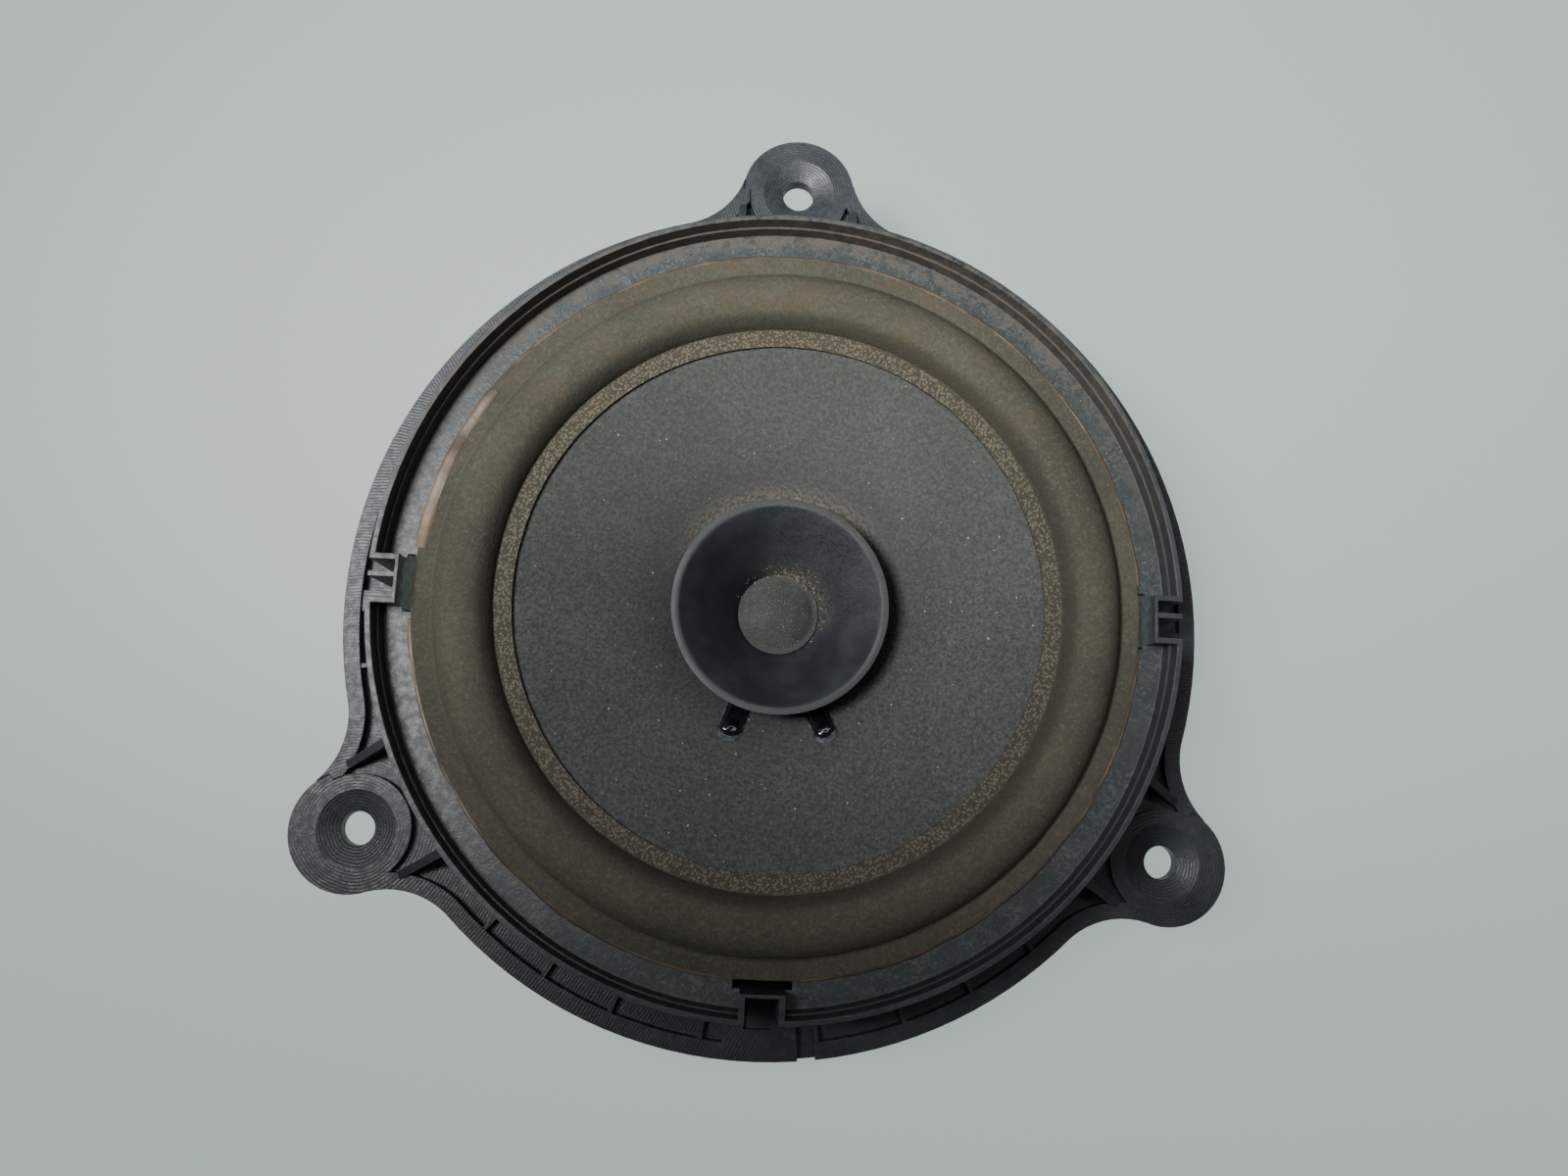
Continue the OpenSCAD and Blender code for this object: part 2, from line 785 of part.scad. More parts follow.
module voice_coil_winding() {
    color([0.72, 0.38, 0.18])
        ring(former_r, winding_r, gap_mid_z - winding_h / 2, gap_mid_z + winding_h / 2);
}

// A corrugated cloth disc from the former out to its seat.
module spider() {
    waves = 6;
    wave_from_r = former_r + 2;
    wave_to_r = spider_r - spider_seat_w;
    function wave_z(r) = spider_z
        + (r < wave_from_r || r > wave_to_r
            ? 0
            : spider_wave_h * sin(360 * waves * (r - wave_from_r) / (wave_to_r - wave_from_r)));
    radii = concat([former_r], steps(wave_from_r, wave_to_r, 8 * waves), [spider_r]);
    color([0.80, 0.68, 0.38])
        rotate_extrude()
            polygon(concat(
                [for (r = radii) [r, wave_z(r) + spider_t / 2]],
                [for (r = reversed(radii)) [r, wave_z(r) - spider_t / 2]]
            ));
}

module spider_glue_ring() {
    color([0.55, 0.40, 0.20])
        ring(spider_r - 1.2, spider_r, spider_z + spider_t / 2, spider_z + spider_t / 2 + 0.5);
}

// ---- Motor ----

module top_plate() {
    color([0.66, 0.66, 0.62])
        difference() {
            ring(plate_bore_r, plate_d / 2, top_plate_z, motor_z);
            for (a = [45:90:315])
                rotate(a)
                    translate([rivet_circle_r, 0, top_plate_z - 1])
                        cylinder(d = rivet_d, h = plate_t + 2);
        }
}

module magnet() {
    color([0.22, 0.22, 0.23])
        ring(magnet_bore / 2, magnet_d / 2, magnet_z, magnet_top_z);
}

module back_plate() {
    edge = 0.8;
    color([0.66, 0.66, 0.62])
        rotate_extrude()
            polygon([
                [pole_spigot_r, back_z], [plate_d / 2 - edge, back_z], [plate_d / 2, back_z + edge],
                [plate_d / 2, back_plate_top_z], [pole_spigot_r, back_plate_top_z]
            ]);
}

// The pole stands on the back plate and is riveted into it by its spigot.
module pole_piece() {
    color([0.60, 0.60, 0.58])
        rotate_extrude()
            polygon([
                [0, back_z + 0.3], [pole_spigot_r - 0.3, back_z + 0.3], [pole_spigot_r, back_z + 0.6],
                [pole_spigot_r, back_plate_top_z], [pole_r, back_plate_top_z], [pole_r, motor_z - 0.4],
                [pole_r - 0.6, motor_z], [0, motor_z]
            ]);
}

module magnet_glue() {
    color([0.75, 0.72, 0.60]) {
        ring(magnet_bore / 2 + 1, plate_d / 2 - 1, magnet_top_z, top_plate_z);
        ring(magnet_bore / 2 + 1, plate_d / 2 - 1, back_plate_top_z, magnet_z);
    }
}

module motor_rivets() {
    color([0.70, 0.70, 0.72])
        for (a = [45:90:315])
            rotate(a)
                translate([rivet_circle_r, 0, 0]) {
                    translate([0, 0, top_plate_z])
                        cylinder(d = rivet_d, h = seat_plate_z - top_plate_z);
                    translate([0, 0, seat_plate_z])
                        cylinder(d1 = rivet_d + 2.4, d2 = rivet_d + 0.8, h = 1.1);
                }
}

// ---- Connector and leads ----

module connector_housing() {
    inner_w = plug_w - 2 * plug_wall;
    inner_d = plug_d - 2 * plug_wall;
    outer_y = panel_y - plug_d;
    color([0.13, 0.14, 0.15])
        difference() {
            union() {
                translate([-plug_w / 2, outer_y, plug_z])
                    cube([plug_w, plug_d, plug_h]);
                for (side = [-1, 1])
                    translate([side * rivet_x - 2.2, panel_y - plug_wall, plug_top_z - eps])
                        cube([4.4, plug_wall, tab_h]);
                // A latch ridge on the outside, which the plug snaps over.
                translate([-3, outer_y - 0.9, plug_z + 3])
                    cube([6, 1, 1.6]);
            }
            translate([-inner_w / 2, outer_y + plug_wall, plug_z - 1])
                cube([inner_w, inner_d, plug_h - plug_wall + 1]);
            // A keyway, so that the plug goes in one way round.
            translate([-inner_w / 2 - 0.7, outer_y + plug_wall + 1, plug_z - 1])
                cube([1, 2, plug_h - 5]);
            for (side = [-1, 1]) {
                translate([side * blade_pitch / 2 - blade_w / 2, blade_y, plug_top_z - plug_wall - 1])
                    cube([blade_w, blade_t, plug_wall + 2]);
                translate([side * rivet_x, panel_y - plug_wall - 1, rivet_z])
                    rotate([-90, 0, 0])
                        cylinder(r = rivet_r + 0.05, h = plug_wall + 2);
            }
        }
}

// A blade in the socket that bends over the panel to a solder lug inside the basket.
module terminal(side) {
    blade_low_z = plug_z + 3;
    color([0.80, 0.80, 0.78])
        translate([side * blade_pitch / 2 - blade_w / 2, 0, 0]) {
            translate([0, blade_y, blade_low_z])
                cube([blade_w, blade_t, lug_z - blade_low_z]);
            translate([0, blade_y, lug_z - blade_t])
                cube([blade_w, lug_y - blade_y, blade_t]);
        }
}

module terminal_positive() {
    terminal(1);
}

module terminal_negative() {
    terminal(-1);
}

module terminal_rivets() {
    head_t = 0.7;
    color([0.78, 0.70, 0.45])
        for (side = [-1, 1])
            translate([side * rivet_x, 0, rivet_z])
                rotate([-90, 0, 0])
                    difference() {
                        union() {
                            translate([0, 0, panel_y - plug_wall - head_t])
                                cylinder(r = rivet_head_r, h = head_t);
                            translate([0, 0, panel_y - plug_wall - head_t])
                                cylinder(r = rivet_r, h = plug_wall + bowl_t + 2 * head_t);
                            translate([0, 0, panel_y + bowl_t])
                                cylinder(r = rivet_head_r, h = head_t);
                        }
                        translate([0, 0, panel_y - plug_wall - 2])
                            cylinder(r = 0.5, h = plug_wall + bowl_t + 4);
                    }
}

solder_r = 1.3;
solder_y = lug_y - 1.6;
solder_h = 1.6;

module lead_solder() {
    color([0.75, 0.76, 0.78])
        for (side = [-1, 1])
            translate([side * blade_pitch / 2, solder_y, lug_z])
                cylinder(r1 = solder_r, r2 = 0.7, h = solder_h);
}

// A tube along a route: a ring of points at each route point, square to its direction.
tube_sides = 8;
function along(route, i) =
    let (back = route[max(i - 1, 0)], ahead = route[min(i + 1, len(route) - 1)])
    (ahead - back) / norm(ahead - back);
function tube_ring(route, i, r) =
    let (
        forward = along(route, i),
        sideways = cross(forward, [0, 0, 1]) / norm(cross(forward, [0, 0, 1])),
        upwards = cross(sideways, forward)
    )
    [for (k = [0:tube_sides - 1])
        route[i] + r * (cos(360 * k / tube_sides) * sideways + sin(360 * k / tube_sides) * upwards)];

module tube(route, r) {
    count = len(route);
    points = [for (i = [0:count - 1]) each tube_ring(route, i, r)];
    walls = [
        for (i = [0:count - 2])
            for (k = [0:tube_sides - 1])
                let (next = (k + 1) % tube_sides)
                [
                    i * tube_sides + k, i * tube_sides + next,
                    (i + 1) * tube_sides + next, (i + 1) * tube_sides + k
                ]
    ];
    start_cap = [for (k = [tube_sides - 1:-1:0]) k];
    end_cap = [for (k = [0:tube_sides - 1]) (count - 1) * tube_sides + k];
    polyhedron(points = points, faces = concat([start_cap], walls, [end_cap]), convexity = 4);
}

// A lead's route: from its eyelet behind the cone, in a slack curve, to the solder on its lug.
function lead_route(a, side) =
    let (
        from = polar(eyelet_r, a, cone_z(eyelet_r) - 2 - lead_d / 2 - 0.1),
        to = [side * blade_pitch / 2, solder_y + solder_r + lead_d / 2, lug_z + 0.9],
        sag = 5.5
    )
    [for (t = steps(0, 1, 14)) from + (to - from) * t - [0, 0, sag * sin(180 * t)]];

module tinsel_lead_positive() {
    color([0.70, 0.55, 0.35])
        tube(lead_route(lead_angles[1], 1), lead_d / 2);
}

module tinsel_lead_negative() {
    color([0.70, 0.55, 0.35])
        tube(lead_route(lead_angles[0], -1), lead_d / 2);
}

basket();
rear_seal();
surround();
surround_glue_bead();
cone();
whizzer_cone();
dust_cap();
neck_glue();
lead_glue();
cone_eyelets();
voice_coil_former();
voice_coil_winding();
spider();
spider_glue_ring();
top_plate();
magnet();
back_plate();
pole_piece();
magnet_glue();
motor_rivets();
connector_housing();
terminal_positive();
terminal_negative();
terminal_rivets();
tinsel_lead_positive();
tinsel_lead_negative();
lead_solder();
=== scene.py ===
# %% [markdown]
# # A car door speaker with a whizzer cone
# This lesson dresses a speaker that was worked out exactly in CAD. The CAD solids come in as a fixed frame.
# Hard parts, such as the moulded basket and the steel motor, keep their CAD mesh and get a finish. Soft or
# hand-made parts, such as the foam surround, the paper cones, the cloth spider and the beads of glue, are
# modelled again here on top of the CAD sizes, because they are the ones that a CAD solid makes look stiff.
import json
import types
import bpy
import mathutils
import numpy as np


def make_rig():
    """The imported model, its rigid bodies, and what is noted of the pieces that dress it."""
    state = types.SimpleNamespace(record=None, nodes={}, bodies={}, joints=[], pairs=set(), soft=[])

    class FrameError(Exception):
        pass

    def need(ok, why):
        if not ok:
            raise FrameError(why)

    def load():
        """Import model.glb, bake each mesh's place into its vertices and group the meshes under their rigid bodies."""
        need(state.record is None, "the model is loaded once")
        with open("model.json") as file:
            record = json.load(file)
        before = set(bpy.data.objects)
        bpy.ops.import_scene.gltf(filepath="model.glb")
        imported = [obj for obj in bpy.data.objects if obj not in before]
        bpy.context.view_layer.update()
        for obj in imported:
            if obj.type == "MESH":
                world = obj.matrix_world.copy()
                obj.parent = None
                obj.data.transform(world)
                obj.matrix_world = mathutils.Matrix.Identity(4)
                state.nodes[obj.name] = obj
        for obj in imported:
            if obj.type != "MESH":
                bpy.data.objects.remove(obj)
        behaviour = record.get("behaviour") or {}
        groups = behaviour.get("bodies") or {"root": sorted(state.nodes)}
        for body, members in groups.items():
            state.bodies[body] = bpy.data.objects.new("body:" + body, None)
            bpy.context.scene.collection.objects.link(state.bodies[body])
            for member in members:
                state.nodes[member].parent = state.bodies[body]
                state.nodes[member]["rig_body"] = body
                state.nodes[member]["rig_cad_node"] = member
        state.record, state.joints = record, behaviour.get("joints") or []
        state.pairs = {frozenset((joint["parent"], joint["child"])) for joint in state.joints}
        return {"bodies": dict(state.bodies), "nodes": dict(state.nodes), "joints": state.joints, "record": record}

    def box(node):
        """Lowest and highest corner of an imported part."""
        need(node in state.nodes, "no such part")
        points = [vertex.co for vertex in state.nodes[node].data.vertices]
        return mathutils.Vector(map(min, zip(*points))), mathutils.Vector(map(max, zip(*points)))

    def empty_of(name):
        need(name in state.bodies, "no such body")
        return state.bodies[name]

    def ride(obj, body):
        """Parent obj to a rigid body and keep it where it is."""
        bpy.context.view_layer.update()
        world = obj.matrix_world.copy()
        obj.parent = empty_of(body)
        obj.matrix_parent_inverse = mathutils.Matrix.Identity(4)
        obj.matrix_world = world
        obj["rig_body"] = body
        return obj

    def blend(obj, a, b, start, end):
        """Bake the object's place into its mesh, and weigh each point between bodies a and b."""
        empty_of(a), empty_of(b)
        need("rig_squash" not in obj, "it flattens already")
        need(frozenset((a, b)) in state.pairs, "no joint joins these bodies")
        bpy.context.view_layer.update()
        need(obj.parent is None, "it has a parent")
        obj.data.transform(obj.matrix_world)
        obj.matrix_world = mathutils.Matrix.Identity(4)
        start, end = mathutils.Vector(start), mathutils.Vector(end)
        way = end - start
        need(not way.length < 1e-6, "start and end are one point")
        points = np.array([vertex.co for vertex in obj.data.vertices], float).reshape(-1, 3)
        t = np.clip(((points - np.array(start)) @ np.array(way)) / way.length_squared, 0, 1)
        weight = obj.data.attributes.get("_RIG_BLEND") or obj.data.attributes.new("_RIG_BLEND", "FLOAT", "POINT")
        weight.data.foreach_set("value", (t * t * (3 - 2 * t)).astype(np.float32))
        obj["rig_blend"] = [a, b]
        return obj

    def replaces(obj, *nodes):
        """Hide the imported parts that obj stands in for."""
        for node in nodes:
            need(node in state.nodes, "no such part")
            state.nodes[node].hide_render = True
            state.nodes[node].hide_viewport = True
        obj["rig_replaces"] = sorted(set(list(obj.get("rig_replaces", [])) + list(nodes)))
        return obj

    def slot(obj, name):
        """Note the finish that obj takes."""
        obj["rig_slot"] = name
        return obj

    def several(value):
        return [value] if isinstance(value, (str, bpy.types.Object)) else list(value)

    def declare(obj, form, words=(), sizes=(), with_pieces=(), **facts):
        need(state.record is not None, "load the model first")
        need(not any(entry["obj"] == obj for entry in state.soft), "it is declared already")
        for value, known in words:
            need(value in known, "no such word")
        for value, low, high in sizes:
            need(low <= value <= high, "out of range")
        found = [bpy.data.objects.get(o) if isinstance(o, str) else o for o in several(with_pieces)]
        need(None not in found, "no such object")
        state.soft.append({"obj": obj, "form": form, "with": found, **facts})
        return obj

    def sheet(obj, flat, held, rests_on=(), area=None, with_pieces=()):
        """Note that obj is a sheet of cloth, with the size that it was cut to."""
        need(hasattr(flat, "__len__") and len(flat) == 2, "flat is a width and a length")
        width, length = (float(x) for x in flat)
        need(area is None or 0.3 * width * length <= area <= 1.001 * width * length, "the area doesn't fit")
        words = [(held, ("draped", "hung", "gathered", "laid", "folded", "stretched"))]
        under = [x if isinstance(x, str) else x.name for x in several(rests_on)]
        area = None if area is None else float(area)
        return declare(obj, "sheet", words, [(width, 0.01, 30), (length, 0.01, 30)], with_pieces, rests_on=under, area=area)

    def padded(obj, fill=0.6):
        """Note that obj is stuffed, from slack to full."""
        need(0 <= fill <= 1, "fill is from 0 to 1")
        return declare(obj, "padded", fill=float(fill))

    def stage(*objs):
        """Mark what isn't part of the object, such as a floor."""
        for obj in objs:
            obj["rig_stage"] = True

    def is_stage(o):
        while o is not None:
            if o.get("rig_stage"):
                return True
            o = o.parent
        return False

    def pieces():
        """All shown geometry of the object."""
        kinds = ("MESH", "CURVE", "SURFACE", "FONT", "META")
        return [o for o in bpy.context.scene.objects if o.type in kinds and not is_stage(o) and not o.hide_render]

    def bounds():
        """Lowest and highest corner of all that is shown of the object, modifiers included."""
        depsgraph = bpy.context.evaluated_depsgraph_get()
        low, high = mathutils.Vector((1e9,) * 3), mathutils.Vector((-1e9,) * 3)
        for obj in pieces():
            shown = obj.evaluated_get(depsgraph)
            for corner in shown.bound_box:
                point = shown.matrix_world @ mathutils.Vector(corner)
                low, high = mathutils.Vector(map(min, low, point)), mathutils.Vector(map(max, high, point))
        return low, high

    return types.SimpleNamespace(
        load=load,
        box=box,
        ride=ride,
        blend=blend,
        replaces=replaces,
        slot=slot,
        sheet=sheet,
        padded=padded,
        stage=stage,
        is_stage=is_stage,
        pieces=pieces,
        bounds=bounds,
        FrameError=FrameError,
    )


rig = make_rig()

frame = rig.load()

import json
import math
import random

import bpy
from mathutils import Vector

cad_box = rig.bounds()
nodes = frame["nodes"]
MM = 0.001
print("CAD nodes:", len(nodes), "bodies:", sorted(frame["bodies"]))

# %% [markdown]
# ## Where things are
# The speaker's axis is Z, and the origin lies in the plane of the ears' rear faces. Heights and radii that
# the new pieces need are read from the CAD solids' boxes, so nothing has to be fitted by eye.

# %% Measure the CAD solids


def reach_of(node):
    """Largest distance from the axis, to the right, of a solid that is round about the axis."""
    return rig.box(node)[1].x


def low_of(node):
    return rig.box(node)[0].z


def high_of(node):
    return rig.box(node)[1].z


surround_r = reach_of("surround")
shelf_z = low_of("surround")
cone_r = reach_of("cone")
cone_edge_z = high_of("cone")
whizzer_r = reach_of("whizzer_cone")
former_r = reach_of("voice_coil_former")
former_top_z = high_of("voice_coil_former")
collar_h = high_of("basket")
EAR_CENTRE_R = 90 * MM
EAR_ANGLES = (90, 210, 330)
EAR_HOLES = [(EAR_CENTRE_R * math.cos(math.radians(angle)), EAR_CENTRE_R * math.sin(math.radians(angle)), 0)
             for angle in EAR_ANGLES]
TABLE_GAP = 0.1 * MM
table_z = low_of("back_plate") - TABLE_GAP
print(f"surround to {surround_r / MM:.1f}, cone to {cone_r / MM:.1f}, whizzer to {whizzer_r / MM:.1f} mm")

# %% [markdown]
# ## Small helpers
# An operator works on whatever is selected, so each new piece starts with nothing selected. A round piece
# is drawn as a hand would turn it: one circle, extruded ring by ring to each new radius and height. A
# finished piece keeps its place in its mesh, so its object is applied to the origin.

# %% Helpers for modelling


def select_only(obj):
    if bpy.context.mode != "OBJECT":
        bpy.ops.object.mode_set(mode="OBJECT")
    bpy.ops.object.select_all(action="DESELECT")
    obj.select_set(True)
    bpy.context.view_layer.objects.active = obj


def select_nothing():
    if bpy.context.mode != "OBJECT":
        bpy.ops.object.mode_set(mode="OBJECT")
    bpy.ops.object.select_all(action="DESELECT")


def named(name):
    """Gives the object that was just added its name."""
    obj = bpy.context.object
    obj.name = name
    obj.data.name = name
    return obj


def use_modifier(obj, kind, **settings):
    """Adds a modifier with its settings, and applies it."""
    select_only(obj)
    modifier = obj.modifiers.new(kind.title(), kind)
    for key, value in settings.items():
        setattr(modifier, key, value)
    bpy.ops.object.modifier_apply(modifier=modifier.name)


def tidy_mesh(obj, gap=0.002 * MM):
    """Merges doubled points, makes the faces point outwards and lays the object down at the origin."""
    select_only(obj)
    bpy.ops.object.transform_apply(location=True, rotation=True, scale=True)
    bpy.ops.object.mode_set(mode="EDIT")
    bpy.ops.mesh.select_all(action="SELECT")
    bpy.ops.mesh.remove_doubles(threshold=gap)
    bpy.ops.mesh.normals_make_consistent(inside=False)
    bpy.ops.object.mode_set(mode="OBJECT")


def soft_shading(obj, degrees=35):
    select_only(obj)
    bpy.ops.object.shade_smooth_by_angle(angle=math.radians(degrees))


def turned(name, rings, count):
    """A skin turned about the axis: one circle, then each next ring extruded to its (radius, height)."""
    select_nothing()
    radius, height = rings[0]
    bpy.ops.mesh.primitive_circle_add(vertices=count, radius=radius, location=(0, 0, height))
    obj = named(name)
    bpy.ops.object.mode_set(mode="EDIT")
    bpy.ops.mesh.select_all(action="SELECT")
    for next_radius, next_height in rings[1:]:
        bpy.ops.mesh.extrude_region_move()
        share = next_radius / radius
        bpy.ops.transform.resize(value=(share, share, 1), center_override=(0, 0, 0))
        bpy.ops.transform.translate(value=(0, 0, next_height - height))
        radius, height = next_radius, next_height
    bpy.ops.object.mode_set(mode="OBJECT")
    tidy_mesh(obj)
    return obj


def own_copy(obj):
    """A copy that has a mesh of its own."""
    made = obj.copy()
    made.data = obj.data.copy()
    bpy.context.scene.collection.objects.link(made)
    return made


def joined(pieces, name):
    select_nothing()
    for piece in pieces:
        piece.select_set(True)
    bpy.context.view_layer.objects.active = pieces[0]
    bpy.ops.object.join()
    return named(name)


def rough_up(obj, size, depth):
    """Makes a surface slightly uneven, with bumps of that size and depth."""
    clouds = bpy.data.textures.new(obj.name + "_unevenness", "CLOUDS")
    clouds.noise_scale = size
    clouds.noise_depth = 1
    use_modifier(obj, "DISPLACE", texture=clouds, texture_coords="LOCAL", strength=depth,
                 mid_level=0.5, direction="NORMAL")


def report(obj):
    print(f"{obj.name}: {len(obj.data.polygons)} faces, {len(obj.data.vertices)} points")


# %% [markdown]
# ## Building materials in code
# Each finish is a Principled shader fed by small effects. An effect that several finishes share is a node
# group, built once, which gives back only masks and heights. The `Wire` helper keeps the node code short:
# it adds a node, sets its values and plugs in what feeds it.

# %% Helpers for materials


class Wire:
    """Adds nodes to a tree. A value that is a socket is linked, and any other value is set."""

    def __init__(self, tree):
        self.tree = tree
        self.count = 0

    def put(self, socket, value):
        if isinstance(value, bpy.types.NodeSocket):
            self.tree.links.new(value, socket)
        else:
            socket.default_value = value

    def node(self, kind, inputs=(), **settings):
        made = self.tree.nodes.new(kind)
        self.count += 1
        made.location = (220 * (self.count % 8), -260 * (self.count // 8))
        for key, value in settings.items():
            setattr(made, key, value)
        for key, value in dict(inputs).items():
            self.put(made.inputs[key], value)
        return made

    def math(self, how, a, b=0.0, c=0.0):
        return self.node("ShaderNodeMath", {0: a, 1: b, 2: c}, operation=how).outputs[0]

    def times(self, a, b):
        return self.math("MULTIPLY", a, b)

    def vector(self, how, a, b=(0, 0, 0), out=0):
        return self.node("ShaderNodeVectorMath", {0: a, 1: b}, operation=how).outputs[out]

    def noise(self, place, scale, detail=3.0, rough=0.55, swirl=0.0):
        return self.node("ShaderNodeTexNoise", {"Vector": place, "Scale": scale, "Detail": detail,
                                                "Roughness": rough, "Distortion": swirl}).outputs["Fac"]

    def ramp(self, value, low, high):
        """0 below low, 1 above high, and smooth between."""
        made = self.node("ShaderNodeMapRange", {0: value, 1: low, 2: high, 3: 0.0, 4: 1.0},
                         interpolation_type="SMOOTHSTEP")
        return made.outputs[0]

    def mix(self, mask, a, b, how="MIX"):
        made = self.node("ShaderNodeMix", data_type="RGBA", blend_type=how)
        self.put(made.inputs[0], mask)
        self.put(made.inputs[6], a)
        self.put(made.inputs[7], b)
        return made.outputs[2]

    def group(self, tree, **inputs):
        made = self.node("ShaderNodeGroup")
        made.node_tree = tree
        for key, value in inputs.items():
            self.put(made.inputs[key], value)
        return made

    def place(self):
        return self.node("ShaderNodeTexCoord").outputs["Object"]


def rgb(r, g, b):
    return (r, g, b, 1.0)


def new_group(name, inputs, outputs):
    """An empty node group with named sockets, its inner nodes and its wire."""
    tree = bpy.data.node_groups.new(name, "ShaderNodeTree")
    for label, kind, value in inputs:
        made = tree.interface.new_socket(label, in_out="INPUT", socket_type=kind)
        if kind == "NodeSocketFloat":
            made.default_value = value
    for label, kind in outputs:
        tree.interface.new_socket(label, in_out="OUTPUT", socket_type=kind)
    wire = Wire(tree)
    return tree, wire, wire.node("NodeGroupInput").outputs, wire.node("NodeGroupOutput").inputs


FLOAT, VECTOR = "NodeSocketFloat", "NodeSocketVector"

# %% [markdown]
# ### Effects that the finishes share
# *Round place* turns a place into its radius and its share of the way round, which rings and spokes of
# colour need. *Grain* is a fine two-size roughness for moulded and pressed surfaces. *Worn edges* finds
# convex edges by comparing the true normal with one that is bevelled. *Settled dust* lies on what faces up.
# *Cutter marks* are the fine rings about each ear's hole that a mould's milled steel leaves on the plastic.
# *Fibres* are short curls, light on dark, as on felted paper and glass-filled plastic. *Weave* is two sets
# of threads.

# %% Effect groups
round_place, w, given, out = new_group("Round place", [("Place", VECTOR, None)],
                                       [("Radius", FLOAT), ("Up share", FLOAT), ("Right share", FLOAT)])
flat = w.vector("MULTIPLY", given["Place"], (1, 1, 0))
radius = w.vector("LENGTH", flat, out=1)
parts = w.node("ShaderNodeSeparateXYZ", {0: w.vector("NORMALIZE", flat)}).outputs
w.put(out["Radius"], radius)
w.put(out["Up share"], parts[1])
w.put(out["Right share"], parts[0])

grain, w, given, out = new_group("Grain", [("Place", VECTOR, None), ("Scale", FLOAT, 1500.0),
                                           ("Coarse", FLOAT, 0.3)],
                                 [("Height", FLOAT), ("Mottle", FLOAT)])
fine = w.noise(given["Place"], given["Scale"], 3.0, 0.6)
coarse = w.noise(given["Place"], w.times(given["Scale"], given["Coarse"]), 2.0)
w.put(out["Height"], w.math("MULTIPLY_ADD", coarse, 0.6, w.times(fine, 0.4)))
w.put(out["Mottle"], w.ramp(coarse, 0.35, 0.68))

worn_edges, w, given, out = new_group("Worn edges", [("Place", VECTOR, None), ("Width", FLOAT, 0.0005)],
                                      [("Mask", FLOAT)])
bevel = w.node("ShaderNodeBevel", {"Radius": given["Width"]}, samples=4).outputs[0]
normal = w.node("ShaderNodeNewGeometry").outputs["Normal"]
turn = w.math("SUBTRACT", 1.0, w.vector("DOT_PRODUCT", bevel, normal, out=1))
patchy = w.ramp(w.noise(given["Place"], 350.0, 4.0), 0.35, 0.6)
w.put(out["Mask"], w.times(w.ramp(turn, 0.01, 0.12), patchy))

dust, w, given, out = new_group("Settled dust", [("Place", VECTOR, None), ("Amount", FLOAT, 0.4),
                                                 ("Scale", FLOAT, 900.0)], [("Mask", FLOAT)])
up = w.node("ShaderNodeSeparateXYZ", {0: w.node("ShaderNodeNewGeometry").outputs["Normal"]}).outputs[2]
clumps = w.noise(given["Place"], w.times(given["Scale"], 0.12), 3.0)
specks = w.ramp(w.noise(given["Place"], given["Scale"], 2.0), 0.5, 0.72)
lying = w.times(w.ramp(up, 0.1, 0.9), w.ramp(clumps, 0.35, 0.7))
w.put(out["Mask"], w.times(w.times(lying, w.math("MULTIPLY_ADD", specks, 0.7, 0.3)), given["Amount"]))

cutter_marks, w, given, out = new_group("Cutter marks", [("Place", VECTOR, None), ("Pitch", FLOAT, 0.0006)],
                                        [("Height", FLOAT)])
wander = w.times(w.noise(given["Place"], 60.0, 2.0), 0.0025)
distances = []
for hole in EAR_HOLES:
    beside = w.vector("MULTIPLY", w.vector("SUBTRACT", given["Place"], hole), (1, 1, 0))
    distances.append(w.vector("LENGTH", beside, out=1))
closer = w.math("MINIMUM", distances[1], distances[2])
nearest = w.math("ADD", wander, w.math("MINIMUM", distances[0], closer))
turns = w.math("DIVIDE", nearest, given["Pitch"])
w.put(out["Height"], w.math("MULTIPLY_ADD", w.math("SINE", w.times(turns, math.tau)), 0.5, 0.5))

fibres, w, given, out = new_group("Fibres", [("Place", VECTOR, None), ("Scale", FLOAT, 1200.0)],
                                  [("Light", FLOAT), ("Height", FLOAT)])
curls = w.noise(given["Place"], given["Scale"], 3.0, 0.6, swirl=1.6)
w.put(out["Light"], w.ramp(curls, 0.46, 0.66))
w.put(out["Height"], curls)

weave, w, given, out = new_group("Weave", [("Place", VECTOR, None), ("Pitch", FLOAT, 0.0004)],
                                 [("Height", FLOAT)])
across = w.node("ShaderNodeSeparateXYZ", {0: given["Place"]}).outputs
waves = []
for side in (0, 1):
    turns = w.times(w.math("DIVIDE", across[side], given["Pitch"]), math.tau)
    waves.append(w.math("MULTIPLY_ADD", w.math("SINE", turns), 0.5, 0.5))
w.put(out["Height"], w.times(waves[0], waves[1]))
print("effect groups:", [g.name for g in bpy.data.node_groups])

# %% [markdown]
# ### One function for every finish
# `finish` makes a material with its Principled shader. A value that changes over the surface is a link, and
# a value that is the same everywhere is set on the shader itself.

# %% The finish helper


def finish(name, **constants):
    material = bpy.data.materials.new(name)
    material.use_nodes = True
    tree = material.node_tree
    tree.nodes.clear()
    wire = Wire(tree)
    shader = wire.node("ShaderNodeBsdfPrincipled")
    surface = wire.node("ShaderNodeOutputMaterial")
    tree.links.new(shader.outputs[0], surface.inputs[0])
    for key, value in constants.items():
        shader.inputs[key.replace("_", " ")].default_value = value
    return material, wire, shader.inputs


